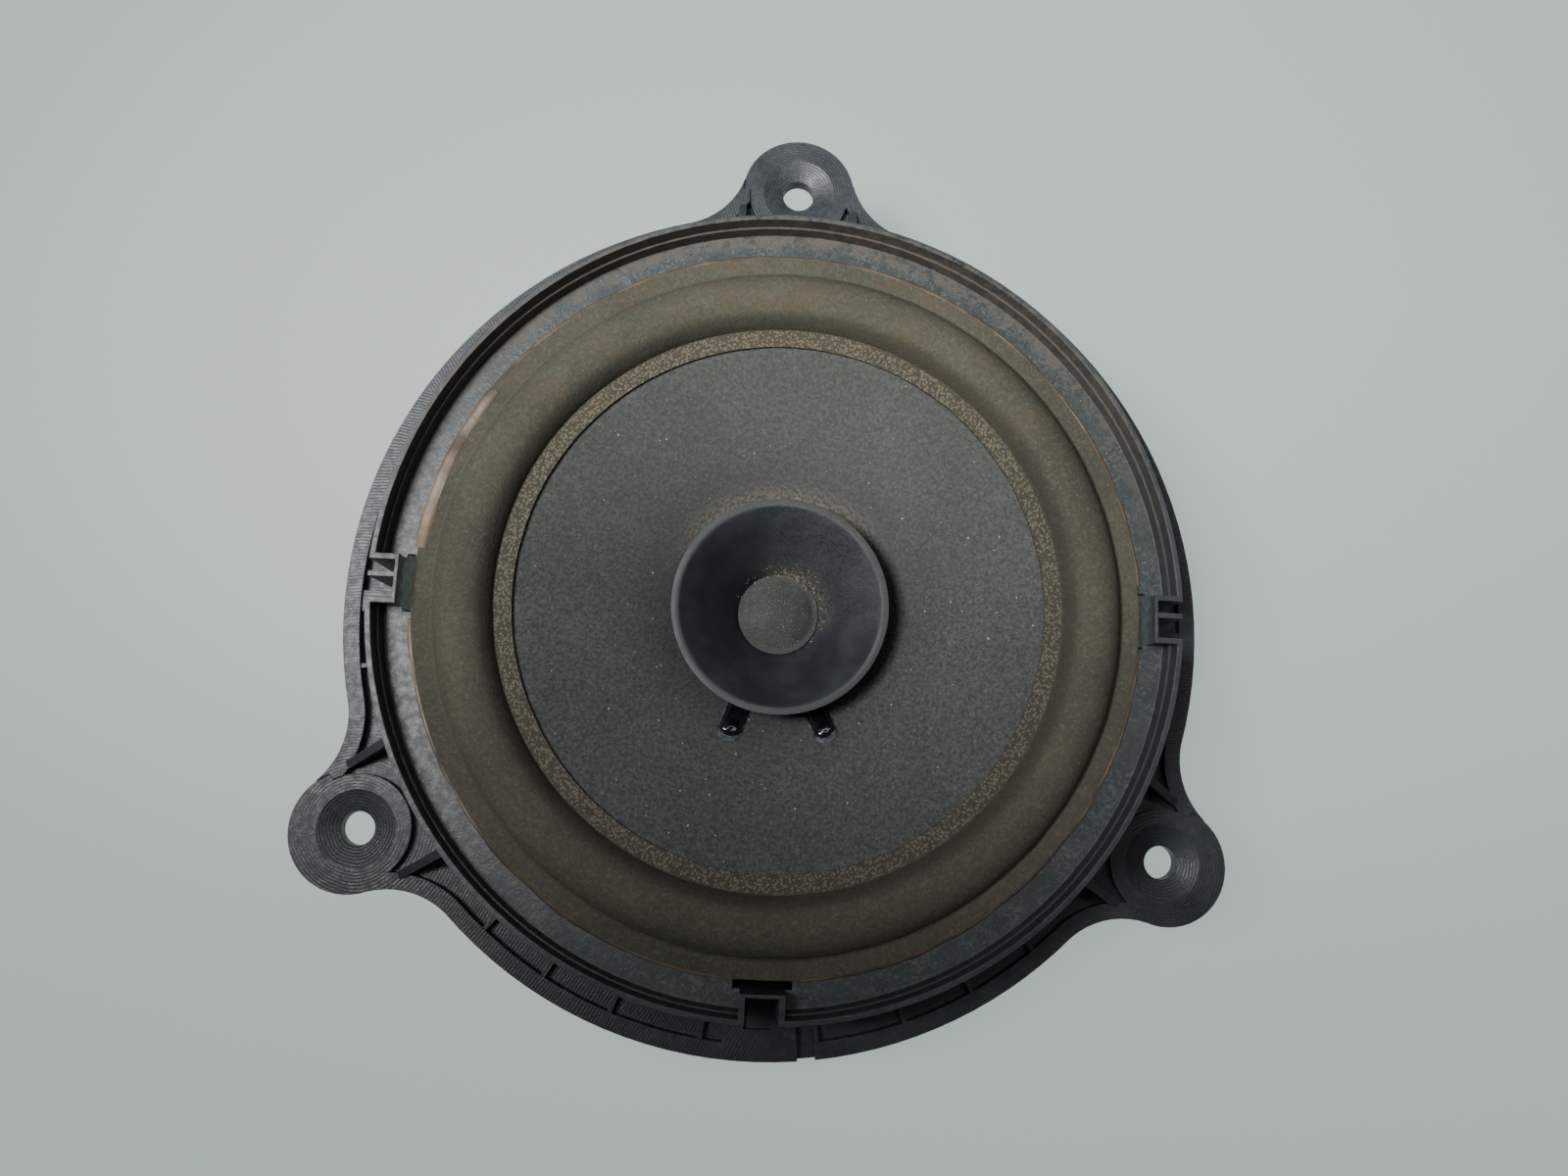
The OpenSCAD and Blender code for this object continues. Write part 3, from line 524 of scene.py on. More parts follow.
def bump(wire, shader, height, depth, strength=1.0, over=None):
    made = wire.node("ShaderNodeBump", {"Height": height, "Distance": depth, "Strength": strength})
    if over is not None:
        wire.put(made.inputs["Normal"], over)
    wire.put(shader["Normal"], made.outputs[0])
    return made.outputs[0]


def dress(obj, material):
    obj.data.materials.clear()
    obj.data.materials.append(material)


# %% [markdown]
# ## The moulded basket
# On the real speaker one dark plastic moulding is the collar, the flange, the ears and the frame behind. It
# is a glass-filled plastic: grey-blue, satin, with cutter marks from the mould in its pockets, lighter
# scuffed edges, a mottled shelf, and brown dirt where the shelf meets the wall at the top. Its shape is
# exact in CAD, so only the finish is made here.

# %% Basket plastic
SHELF_IN_R = 65.5 * MM
WALL_R = 71.2 * MM
COLLAR_OUT_R = 73.0 * MM
STEP_Z = collar_h - 2.1 * MM
CHANNEL_TOP_Z = 4.9 * MM
basket_plastic, w, s = finish("basket_plastic", IOR=1.5)
place = w.place()
around = w.group(round_place, Place=place).outputs
height_z = w.node("ShaderNodeSeparateXYZ", {0: place}).outputs[2]
spots = w.group(grain, Place=place, Scale=2600.0, Coarse=0.25).outputs
curls = w.group(fibres, Place=place, Scale=900.0).outputs
shades = w.noise(place, 60.0, 4.0)
colour = w.mix(w.ramp(shades, 0.3, 0.7), rgb(0.020, 0.026, 0.031), rgb(0.039, 0.048, 0.055))
colour = w.mix(w.times(curls["Light"], 0.30), colour, rgb(0.080, 0.088, 0.088))
shelf = w.times(w.ramp(around["Radius"], SHELF_IN_R, SHELF_IN_R + 0.7 * MM),
                w.ramp(height_z, shelf_z - 1.3 * MM, shelf_z - 0.1 * MM))
in_collar = w.ramp(around["Radius"], COLLAR_OUT_R + 0.2 * MM, COLLAR_OUT_R - 0.2 * MM)
inside = w.times(shelf, in_collar)
below_step = w.ramp(height_z, STEP_Z + 0.3 * MM, STEP_Z - 0.3 * MM)
scratches = w.times(curls["Light"], w.ramp(w.noise(place, 160.0, 4.0, 0.65), 0.3, 0.6))
shelf_grey = w.mix(scratches, rgb(0.034, 0.042, 0.044), rgb(0.092, 0.104, 0.102))
colour = w.mix(w.times(inside, below_step), colour, shelf_grey)
near_wall = w.times(w.ramp(around["Radius"], WALL_R - 3.0 * MM, WALL_R - 1.0 * MM), inside)
upper_arc = w.ramp(around["Up share"], 0.05, 0.7)
dirt_patches = w.ramp(w.noise(place, 420.0, 5.0, 0.75), 0.42, 0.56)
dirt = w.times(w.times(near_wall, upper_arc), dirt_patches)
colour = w.mix(w.times(dirt, 0.85), colour, rgb(0.098, 0.086, 0.068))
past_wall_face = w.times(w.ramp(around["Radius"], WALL_R - 0.1 * MM, WALL_R + 0.2 * MM), in_collar)
over_shelf = w.ramp(height_z, shelf_z + 0.1 * MM, shelf_z + 0.3 * MM)
under_lip = w.ramp(height_z, collar_h - 0.3 * MM, collar_h - 0.7 * MM)
wall = w.times(past_wall_face, w.times(over_shelf, under_lip))
crust = w.times(upper_arc, w.math("MULTIPLY_ADD", dirt_patches, 0.5, 0.5))
wall_tone = w.mix(crust, rgb(0.022, 0.026, 0.028), rgb(0.080, 0.070, 0.055))
colour = w.mix(w.times(wall, 0.9), colour, wall_tone)
clear_of_wall = w.math("SUBTRACT", 1.0, wall)
worn = w.group(worn_edges, Place=place, Width=0.5 * MM).outputs["Mask"]
edges = w.times(worn, clear_of_wall)
colour = w.mix(w.times(edges, 0.45), colour, rgb(0.13, 0.14, 0.14))
settled = w.group(dust, Place=place, Amount=0.25, Scale=1500.0).outputs["Mask"]
dusty = w.times(settled, clear_of_wall)
colour = w.mix(dusty, colour, rgb(0.17, 0.165, 0.145))
w.put(s["Base Color"], colour)
w.put(s["Roughness"], w.math("MULTIPLY_ADD", spots["Mottle"], 0.12, w.math("MULTIPLY_ADD", dirt, 0.3, 0.38)))
in_channel = w.times(w.ramp(height_z, CHANNEL_TOP_Z + 0.3 * MM, CHANNEL_TOP_Z - 0.3 * MM),
                     w.ramp(around["Radius"], COLLAR_OUT_R + 0.2 * MM, COLLAR_OUT_R + 1.5 * MM))
ripples = w.group(cutter_marks, Place=place, Pitch=0.62 * MM).outputs["Height"]
eased = w.node("ShaderNodeBevel", {"Radius": 0.25 * MM}, samples=4).outputs[0]
skin = bump(w, s, spots["Height"], 0.00008, 0.5, over=eased)
skin = bump(w, s, curls["Height"], 0.00010, 0.5, over=skin)
bump(w, s, w.times(ripples, in_channel), 0.00003, 0.7, over=skin)
dress(nodes["basket"], basket_plastic)
print("basket finish:", len(basket_plastic.node_tree.nodes), "nodes")

# %% [markdown]
# ## The foam surround
# The surround is a strip of foam pressed to a half-roll with a flat flange on each side, so it lets the
# cone travel. It could be a lathe curve, but a circle shows the idea better: its upper half is the roll.
# The circle is cut at the flanges' height, its ends are drawn out flat, and the profile is spun round the
# axis. Then it gets its thickness and a little unevenness, and it is bent between the still basket and the
# moving cone.

# %% Surround: a spun half-circle
ROLL_OUT_R = 62.7 * MM
ROLL_IN_R = 52.3 * MM
ROLL_H = 4.2 * MM
FOAM_T = 0.8 * MM
INNER_FLANGE_R = 48.7 * MM
FOOT_RISE = 0.25 * MM
half_roll = (ROLL_OUT_R - ROLL_IN_R) / 2
roll_mid_r = (ROLL_OUT_R + ROLL_IN_R) / 2
arc_r = (half_roll**2 + ROLL_H**2) / (2 * ROLL_H)
roll_base_z = cone_edge_z
select_nothing()
bpy.ops.mesh.primitive_circle_add(
    vertices=72, radius=arc_r, location=(roll_mid_r, 0, roll_base_z + ROLL_H - arc_r + FOAM_T / 2),
    rotation=(math.radians(90), 0, 0))
surround = named("surround_foam")
bpy.ops.object.transform_apply(location=True, rotation=True, scale=True)
bpy.ops.object.mode_set(mode="EDIT")
bpy.ops.mesh.select_all(action="SELECT")
cut_z = roll_base_z + FOAM_T / 2 + FOOT_RISE
bpy.ops.mesh.bisect(plane_co=(0, 0, cut_z), plane_no=(0, 0, 1), clear_inner=True)
bpy.ops.object.mode_set(mode="OBJECT")
print("half-roll profile:", len(surround.data.vertices), "points")

# %% Surround: flanges, spin and thickness


def pick_points(obj, wanted):
    """Selects the points that wanted says, and no others, in edit mode."""
    select_only(obj)
    bpy.ops.object.mode_set(mode="EDIT")
    bpy.ops.mesh.select_mode(type="VERT")
    bpy.ops.mesh.select_all(action="DESELECT")
    bpy.ops.object.mode_set(mode="OBJECT")
    for point in obj.data.vertices:
        point.select = wanted(point.co)
    bpy.ops.object.mode_set(mode="EDIT")


def draw_out(steps):
    """Extrudes the selected point by each (outwards, up) step."""
    for outwards, up in steps:
        bpy.ops.mesh.extrude_region_move(TRANSFORM_OT_translate={"value": (outwards, 0, up)})


END_SLACK = 0.02 * MM
FLANGE_STEPS = 6
FOOT_OUT, FOOT_DOWN = 0.25 * MM, 0.22 * MM
pick_points(surround, lambda p: p.z < cut_z + END_SLACK and p.x > roll_mid_r)
outer_end_x = max(v.co.x for v in surround.data.vertices)
flat_z = shelf_z + FOAM_T / 2
draw_out([(FOOT_OUT, -FOOT_DOWN), (0.45 * MM, flat_z + 0.04 * MM - cut_z + FOOT_DOWN)])
outer_step_x = (surround_r - outer_end_x - 0.7 * MM) / FLANGE_STEPS
draw_out([(outer_step_x, -0.04 * MM / FLANGE_STEPS)] * FLANGE_STEPS)
pick_points(surround, lambda p: abs(p.z - cut_z) < END_SLACK and p.x < roll_mid_r)
inner_end_x = min(v.co.x for v in surround.data.vertices)
draw_out([(-0.3 * MM, -0.2 * MM)])
inner_step_x = (INNER_FLANGE_R - inner_end_x + 0.3 * MM) / FLANGE_STEPS
draw_out([(inner_step_x, -0.05 * MM / FLANGE_STEPS)] * FLANGE_STEPS)
bpy.ops.mesh.select_all(action="SELECT")
bpy.ops.mesh.spin(steps=300, angle=math.tau, center=(0, 0, 0), axis=(0, 0, 1))
bpy.ops.object.mode_set(mode="OBJECT")
tidy_mesh(surround)
use_modifier(surround, "SOLIDIFY", thickness=FOAM_T, offset=0.0)
rough_up(surround, 6 * MM, 0.22 * MM)
soft_shading(surround)
report(surround)

# %% [markdown] The foam bends: its outer edge stays with the basket and its inner edge goes with the cone.

# %% Bend the surround between basket and cone


def smooth_share(share):
    share = min(max(share, 0.0), 1.0)
    return share * share * (3 - 2 * share)


def bend_round(obj, still_r, moving_r):
    """Blends obj from the frame at still_r to the diaphragm at moving_r, both measured from the axis."""
    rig.blend(obj, "frame", "diaphragm", start=(still_r, 0, 0), end=(moving_r, 0, 0))
    share = obj.data.attributes["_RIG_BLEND"].data
    for point, value in zip(obj.data.vertices, share):
        far_out = math.hypot(point.co.x, point.co.y)
        value.value = smooth_share((far_out - still_r) / (moving_r - still_r))


bend_round(surround, ROLL_OUT_R, ROLL_IN_R)
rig.replaces(surround, "surround")
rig.slot(surround, "surround_foam")
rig.padded(surround, fill=0.5)

# %% [markdown]
# ### The foam's finish
# Old foam is an olive-brown grey, matt and fine-grained. Its inner flange is lighter and grainier where the
# glue shows through, and the foot of the roll is darker, partly from dirt and partly from painted shade in its crease.

# %% Foam finish
foam, w, s = finish("surround_foam", Roughness=0.95, Specular_IOR_Level=0.2)
place = w.place()
around = w.group(round_place, Place=place).outputs
pores = w.group(grain, Place=place, Scale=3600.0, Coarse=0.35).outputs
curls = w.group(fibres, Place=place, Scale=1300.0).outputs
cells = w.node("ShaderNodeTexVoronoi", {"Vector": place, "Scale": 2000.0}).outputs["Distance"]
tint = w.ramp(w.noise(place, 28.0, 4.0, 0.6), 0.35, 0.7)
colour = w.mix(tint, rgb(0.067, 0.068, 0.053), rgb(0.098, 0.093, 0.070))
colour = w.mix(w.times(curls["Light"], 0.48), colour, rgb(0.160, 0.150, 0.110))
colour = w.mix(w.times(pores["Mottle"], 0.45), colour, rgb(0.055, 0.053, 0.042))
top_share = w.ramp(around["Up share"], 0.1, 0.9)
brown = w.times(w.ramp(w.noise(place, 150.0, 5.0, 0.7), 0.48, 0.64), top_share)
colour = w.mix(w.times(brown, 0.45), colour, rgb(0.115, 0.082, 0.050))
inner = w.ramp(around["Radius"], ROLL_IN_R + 0.3 * MM, ROLL_IN_R - 0.9 * MM)
between = w.ramp(cells, 0.22, 0.60)
granules = w.mix(between, rgb(0.185, 0.170, 0.128), rgb(0.060, 0.056, 0.043))
warm_granules = w.mix(between, rgb(0.215, 0.180, 0.125), rgb(0.075, 0.060, 0.042))
granules = w.mix(w.times(top_share, 0.5), granules, warm_granules)
colour = w.mix(w.times(inner, 0.8), colour, granules)
# The foot of the roll is darkened: partly real dirt, partly painted shade where the roll meets the inner flange.
foot = w.times(w.ramp(around["Radius"], ROLL_IN_R - 0.9 * MM, ROLL_IN_R + 0.3 * MM),
               w.ramp(around["Radius"], ROLL_IN_R + 2.9 * MM, ROLL_IN_R + 0.9 * MM))
colour = w.mix(w.times(foot, 0.55), colour, rgb(0.034, 0.032, 0.026))
ridge = w.times(w.ramp(around["Radius"], ROLL_OUT_R - 0.6 * MM, ROLL_OUT_R),
                w.ramp(around["Radius"], ROLL_OUT_R + 0.7 * MM, ROLL_OUT_R + 0.2 * MM))
colour = w.mix(w.times(ridge, 0.30), colour, rgb(0.16, 0.150, 0.112))
w.put(s["Base Color"], colour)
skin = bump(w, s, cells, 0.00008, 0.6)
skin = bump(w, s, curls["Height"], 0.00020, 0.7, over=skin)
bump(w, s, pores["Height"], 0.00012, 0.6, over=skin)
dress(surround, foam)

# %% [markdown]
# ## The bead of amber glue
# A thin line of old solvent glue shows where the foam's outer edge meets the shelf. It is made from a torus
# pressed flat and roughened, so that it swells and thins as it goes round. It stops at the three slots
# before the clips.

# %% Glue bead
BEAD_W = 0.8 * MM
SLOT_HALF_W = 5.5 * MM
select_nothing()
bpy.ops.mesh.primitive_torus_add(
    major_radius=surround_r + 0.3 * MM, minor_radius=0.5 * BEAD_W, major_segments=420, minor_segments=10,
    location=(0, 0, shelf_z + 0.1 * MM))
bead = named("surround_glue_bead_amber")
rough_up(bead, 5 * MM, 0.7 * MM)
bead.scale = (1, 1, 0.7)
select_only(bead)
bpy.ops.object.origin_set(type="ORIGIN_GEOMETRY", center="BOUNDS")
bead.location = (0, 0, shelf_z + 0.15 * MM)
tidy_mesh(bead)


def over_a_slot(point):
    beside_x_axis = abs(point.y) < SLOT_HALF_W
    beside_lower_y_axis = abs(point.x) < SLOT_HALF_W and point.y < 0
    return beside_x_axis or beside_lower_y_axis


def cut_away(obj, unwanted):
    """Deletes the points that unwanted says, and closes the ends that this leaves open."""
    pick_points(obj, unwanted)
    bpy.ops.mesh.delete(type="VERT")
    bpy.ops.mesh.select_all(action="SELECT")
    bpy.ops.mesh.fill_holes(sides=0)
    bpy.ops.object.mode_set(mode="OBJECT")


cut_away(bead, over_a_slot)
tidy_mesh(bead)
soft_shading(bead, 50)
report(bead)
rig.ride(bead, "frame")
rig.replaces(bead, "surround_glue_bead")
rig.slot(bead, "amber_glue")

# %% [markdown]
# At the left the glue ran over the foam. That smear is another torus, pressed flatter and cut to a short
# arc.

# %% Smear of glue at the left
SMEAR_LOW_SHARE, SMEAR_HIGH_SHARE = -0.10, 0.56


def off_the_smear(point):
    up_share = point.y / math.hypot(point.x, point.y)
    return over_a_slot(point) or point.x >= 0 or not SMEAR_LOW_SHARE < up_share < SMEAR_HIGH_SHARE


select_nothing()
bpy.ops.mesh.primitive_torus_add(
    major_radius=surround_r - 0.35 * MM, minor_radius=1.0 * MM, major_segments=420, minor_segments=12,
    location=(0, 0, 0))
smear = named("glue_smear_left")
smear.scale = (1, 1, 0.18)
smear.location.z = shelf_z + 0.82 * MM
tidy_mesh(smear)
rough_up(smear, 6 * MM, 0.9 * MM)
cut_away(smear, off_the_smear)
tidy_mesh(smear)
soft_shading(smear, 50)
report(smear)
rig.ride(smear, "frame")
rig.slot(smear, "amber_glue")

# %% [markdown]
# Clean glue is a dull amber, seen at the left and less at the right. Elsewhere dirt has covered it.

# %% Glue finish
amber, w, s = finish("amber_glue", IOR=1.48)
place = w.place()
around = w.group(round_place, Place=place).outputs
patches = w.ramp(w.noise(place, 90.0, 4.0, 0.6), 0.38, 0.62)
clean_left = w.ramp(around["Right share"], -0.90, -0.98)
clean_right = w.times(w.ramp(around["Right share"], 0.70, 0.90), 0.45)
dirty = w.math("SUBTRACT", 0.95, w.math("MAXIMUM", w.times(clean_left, 0.95), clean_right))
fresh = w.mix(patches, rgb(0.22, 0.160, 0.100), rgb(0.15, 0.102, 0.060))
covered = w.times(dirty, w.math("MULTIPLY_ADD", patches, 0.5, 0.5))
colour = w.mix(covered, fresh, rgb(0.055, 0.038, 0.024))
w.put(s["Base Color"], colour)
w.put(s["Roughness"], w.math("MULTIPLY_ADD", patches, 0.3, 0.38))
bump(w, s, w.noise(place, 700.0, 3.0), 0.0001, 0.6)
dress(bead, amber)
dress(smear, amber)

# %% [markdown]
# ## The paper cone
# The cone is pressed from felted paper pulp. Its face is a gentle curve, steeper at the neck. It is drawn
# ring by ring from the neck to the edge, given its thickness, and roughened a little, because pressed felt
# is never even.

# %% Cone
CONE_DEPTH = 20 * MM
NECK_Z = cone_edge_z - CONE_DEPTH
CONE_SHOW_R = INNER_FLANGE_R
PAPER_T = 0.7 * MM


def cone_height(radius):
    share = (radius - former_r) / (CONE_SHOW_R - former_r)
    return NECK_Z + (cone_edge_z - NECK_Z) * (share + 0.25 * share * (1 - share))


def spread(start, stop, count):
    return [start + (stop - start) * i / count for i in range(count + 1)]


slope = [(r, cone_height(r) - PAPER_T / 2) for r in spread(former_r + 0.3 * MM, CONE_SHOW_R, 40)]
glued_edge = [(r, cone_edge_z - PAPER_T / 2) for r in (50.0 * MM, cone_r)]
cone = turned("cone_paper", slope + glued_edge, 240)
use_modifier(cone, "SOLIDIFY", thickness=PAPER_T, offset=0.0)
rough_up(cone, 3.5 * MM, 0.10 * MM)
soft_shading(cone)
report(cone)
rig.ride(cone, "diaphragm")
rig.replaces(cone, "cone")
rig.slot(cone, "cone_paper")

# %% [markdown]
# Felted pulp is light curls on a dark ground. It is darker down at the neck, a little lighter at the top, where light
# is painted on, and brown with dust just above the whizzer.

# %% Cone finish
cone_finish, w, s = finish("cone_paper", Roughness=0.94, Specular_IOR_Level=0.25)
place = w.place()
around = w.group(round_place, Place=place).outputs
felt = w.group(grain, Place=place, Scale=4200.0, Coarse=0.35).outputs
curls = w.group(fibres, Place=place, Scale=2700.0).outputs
clouds = w.ramp(w.noise(place, 45.0, 4.0, 0.6), 0.3, 0.7)
pulp = w.mix(clouds, rgb(0.062, 0.067, 0.067), rgb(0.082, 0.087, 0.083))
colour = w.mix(w.times(curls["Light"], 0.62), pulp, rgb(0.172, 0.182, 0.166))
colour = w.mix(w.times(felt["Mottle"], 0.7), colour, rgb(0.036, 0.040, 0.042))
near_neck = w.ramp(around["Radius"], 33 * MM, 20 * MM)
colour = w.mix(w.times(near_neck, 0.45), colour, rgb(0.035, 0.037, 0.038))
# Painted light: the upper part of the cone is made lighter, as if more light fell on it.
painted_top_light = w.times(w.ramp(around["Up share"], -0.2, 0.9), 0.22)
colour = w.mix(painted_top_light, colour, rgb(0.120, 0.118, 0.100))
by_the_lip = w.ramp(around["Radius"], 26.8 * MM, 20.8 * MM)
dusted = w.times(by_the_lip, w.ramp(around["Up share"], 0.3, 0.9))
powder = w.times(dusted, w.ramp(w.noise(place, 1500.0, 4.0), 0.4, 0.6))
colour = w.mix(powder, colour, rgb(0.175, 0.158, 0.124))
w.put(s["Base Color"], colour)
skin = bump(w, s, curls["Height"], 0.00010, 0.6)
bump(w, s, felt["Height"], 0.00010, 0.6, over=skin)
dress(cone, cone_finish)

# %% [markdown]
# ## The whizzer cone
# The small inner cone carries the high notes. It is thin smooth paper, so it is drawn as a fine flared
# trumpet with a flat lip, and thinner than the main cone. Real ones are never quite round, so it is pushed
# in and out a little.

# %% Whizzer cone
whizzer_rim_z = high_of("whizzer_cone")
LIP_W = 1.4 * MM
FLARE_R = whizzer_r - LIP_W
WHIZZER_NECK_Z = NECK_Z + 1.1 * MM
WHIZZER_T = 0.35 * MM


def flare_height(radius):
    share = (radius - former_r) / (FLARE_R - former_r)
    return WHIZZER_NECK_Z + (whizzer_rim_z - WHIZZER_NECK_Z) * (share + 0.3 * share * (1 - share))


rings = [(former_r + WHIZZER_T / 2, NECK_Z + 0.6 * MM)]
rings += [(r + WHIZZER_T / 2, flare_height(r) - 0.1 * MM) for r in spread(former_r, FLARE_R - 0.35 * MM, 30)]
rings += [(FLARE_R + 0.1 * MM, whizzer_rim_z - 0.25 * MM), (FLARE_R + 0.6 * MM, whizzer_rim_z - 0.22 * MM),
          (whizzer_r - 0.1 * MM, whizzer_rim_z - 0.3 * MM)]
whizzer = turned("whizzer_paper", rings, 200)
use_modifier(whizzer, "SOLIDIFY", thickness=WHIZZER_T, offset=0.0)
rough_up(whizzer, 9 * MM, 0.12 * MM)
soft_shading(whizzer, 50)
report(whizzer)
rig.ride(whizzer, "diaphragm")
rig.replaces(whizzer, "whizzer_cone")
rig.slot(whizzer, "whizzer_paper")

# %% [markdown]
# The whizzer is smooth and dark. Its lip is greyer, and thin dust lies in a crescent to the cap's upper
# right.

# %% Whizzer finish
whizzer_finish, w, s = finish("whizzer_paper", Specular_IOR_Level=0.4)
place = w.place()
around = w.group(round_place, Place=place).outputs
smudges = w.ramp(w.noise(place, 130.0, 5.0, 0.65), 0.35, 0.7)
colour = w.mix(smudges, rgb(0.022, 0.026, 0.031), rgb(0.036, 0.042, 0.048))
lip = w.ramp(around["Radius"], FLARE_R - 0.1 * MM, FLARE_R + 0.1 * MM)
lip_tone = w.mix(w.noise(place, 2400.0, 3.0), rgb(0.028, 0.034, 0.034), rgb(0.070, 0.078, 0.076))
colour = w.mix(w.times(lip, 0.80), colour, lip_tone)
right_and_up = w.math("ADD", around["Right share"], around["Up share"])
crescent = w.times(w.ramp(around["Radius"], 12.8 * MM, 8.8 * MM), w.ramp(right_and_up, 0.1, 1.2))
far_dust = w.times(w.ramp(right_and_up, 0, 1.4), 0.3)
thin_dust = w.math("MAXIMUM", w.times(crescent, 0.9), far_dust)
powder = w.times(w.ramp(w.noise(place, 2200.0, 4.0, 0.75, swirl=1.2), 0.44, 0.58), thin_dust)
colour = w.mix(w.times(powder, 0.7), colour, rgb(0.17, 0.158, 0.130))
w.put(s["Base Color"], colour)
w.put(s["Roughness"], w.math("MULTIPLY_ADD", powder, 0.35, w.math("MULTIPLY_ADD", smudges, 0.14, 0.48)))
skin = bump(w, s, w.noise(place, 1900.0, 3.0), 0.00006, 0.5)
bump(w, s, powder, 0.00008, 0.6, over=skin)
dress(whizzer, whizzer_finish)

# %% [markdown]
# ## The dust cap
# A small dome of coarse cloth closes the coil. Its rim lies on the former's end. The dome is turned ring by
# ring as part of a sphere and closed with a point in the middle.

# %% Dust cap
CAP_RIM_R = reach_of("dust_cap")
CAP_H = high_of("dust_cap") - low_of("dust_cap")
RIM_W = 1 * MM
CAP_T = 0.4 * MM
dome_r = CAP_RIM_R - RIM_W
dome_h = CAP_H - CAP_T
sphere_r = (dome_r**2 + dome_h**2) / (2 * dome_h)
centre_z = former_top_z + CAP_T / 2 + dome_h - sphere_r
rings = [(CAP_RIM_R, former_top_z + CAP_T / 2), (dome_r + 0.25 * MM, former_top_z + CAP_T / 2 + 0.02 * MM)]
rings += [(r, centre_z + math.sqrt(sphere_r**2 - r * r)) for r in spread(dome_r, 0.15 * MM, 18)]
cap = turned("dust_cap_cloth", rings, 96)
pick_points(cap, lambda p: math.hypot(p.x, p.y) < 0.2 * MM)
bpy.ops.mesh.merge(type="CENTER")
bpy.ops.object.mode_set(mode="OBJECT")
use_modifier(cap, "SOLIDIFY", thickness=CAP_T, offset=0.0)
soft_shading(cap, 50)
report(cap)
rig.ride(cap, "diaphragm")
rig.replaces(cap, "dust_cap")
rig.slot(cap, "cap_cloth")

# %% [markdown]
# The cap's cloth is a coarse weave. It is stained in patches and dusted with pale powder.

# %% Cap finish
cap_finish, w, s = finish("cap_cloth", Roughness=0.85, Specular_IOR_Level=0.3)
place = w.place()
around = w.group(round_place, Place=place).outputs
cloth = w.group(weave, Place=place, Pitch=0.36 * MM).outputs["Height"]
stain = w.ramp(w.noise(place, 220.0, 4.0), 0.35, 0.65)
colour = w.mix(stain, rgb(0.070, 0.075, 0.074), rgb(0.105, 0.107, 0.098))
colour = w.mix(w.math("MULTIPLY_ADD", w.ramp(cloth, 0.05, 0.7), 0.45, 0.55), rgb(0.026, 0.029, 0.030), colour)
rim = w.ramp(around["Radius"], dome_r - 0.1 * MM, dome_r + 0.3 * MM)
colour = w.mix(w.times(rim, 0.4), colour, rgb(0.060, 0.066, 0.066))
powder = w.ramp(w.noise(place, 2600.0, 4.0, 0.7), 0.55, 0.68)
colour = w.mix(w.times(powder, 0.5), colour, rgb(0.26, 0.25, 0.22))
w.put(s["Base Color"], colour)
bump(w, s, cloth, 0.00016, 0.8)
dress(cap, cap_finish)

# %% [markdown]
# ## The hidden cloth and the leads
# Behind the cone, the spider is a disc of stiffened cloth with rings of waves, which keeps the coil in the
# middle. Like the surround it bends, so it is modelled again and blended.

# %% Spider
SPIDER_R = reach_of("spider")
spider_z = (low_of("spider") + high_of("spider")) / 2
WAVES = 6
WAVE_H = 1 * MM
wave_from_r = former_r + 2 * MM
wave_to_r = SPIDER_R - 4 * MM


def wave_height(radius):
    if not wave_from_r < radius < wave_to_r:
        return spider_z
    along = (radius - wave_from_r) / (wave_to_r - wave_from_r)
    return spider_z + WAVE_H * math.sin(math.tau * WAVES * along)


spider = turned("spider_cloth", [(r, wave_height(r)) for r in spread(former_r, SPIDER_R, 84)], 180)
use_modifier(spider, "SOLIDIFY", thickness=0.5 * MM, offset=0.0)
soft_shading(spider, 60)
report(spider)
bend_round(spider, wave_to_r, former_r)
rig.replaces(spider, "spider")
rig.slot(spider, "spider_cloth")
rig.sheet(spider, flat=(2 * SPIDER_R, 2 * SPIDER_R), held="stretched", rests_on=["basket"],
         area=math.pi * (SPIDER_R**2 - former_r**2) * 1.12)

# %% [markdown]
# The spider's cloth is stiffened with a yellow-brown resin, and its weave is open and coarse.

# %% Spider finish
spider_finish, w, s = finish("spider_cloth", Roughness=0.85, Specular_IOR_Level=0.3)
place = w.place()
cloth = w.group(weave, Place=place, Pitch=0.6 * MM).outputs["Height"]
worn = w.ramp(w.noise(place, 60.0, 4.0), 0.35, 0.7)
colour = w.mix(worn, rgb(0.50, 0.36, 0.13), rgb(0.60, 0.46, 0.20))
colour = w.mix(w.times(w.ramp(cloth, 0.6, 0.1), 0.5), colour, rgb(0.22, 0.15, 0.05))
w.put(s["Base Color"], colour)
bump(w, s, cloth, 0.0002, 0.8)
dress(spider, spider_finish)

# %% [markdown]
# ## The two bars of black glue
# The coil's wires run under two bars of black glue on the front of the cone. Each bar is a block whose
# edges are rounded until its ends are round. It is laid along the cone's slope, lumpy and shiny. A flatter
# and wider copy under it is the pale glue that dried about its foot.

# %% Glue bars
BAR_ANGLES = (250.4, 293.2)
BAR_START_R = former_r + 2.2 * MM
BAR_END_R = 26 * MM
CONE_SLOPE = math.radians(27)


def lay_on_cone(obj, middle_r, lift, angle):
    """Tips a piece made along X to the cone's slope at middle_r, and turns it to its angle about the axis."""
    step = 0.5 * MM
    slope = math.atan2(cone_height(middle_r + step) - cone_height(middle_r - step), 2 * step)
    obj.rotation_euler = (0, -slope, math.radians(angle))
    turn = math.radians(angle)
    obj.location = (middle_r * math.cos(turn), middle_r * math.sin(turn), cone_height(middle_r) + lift)


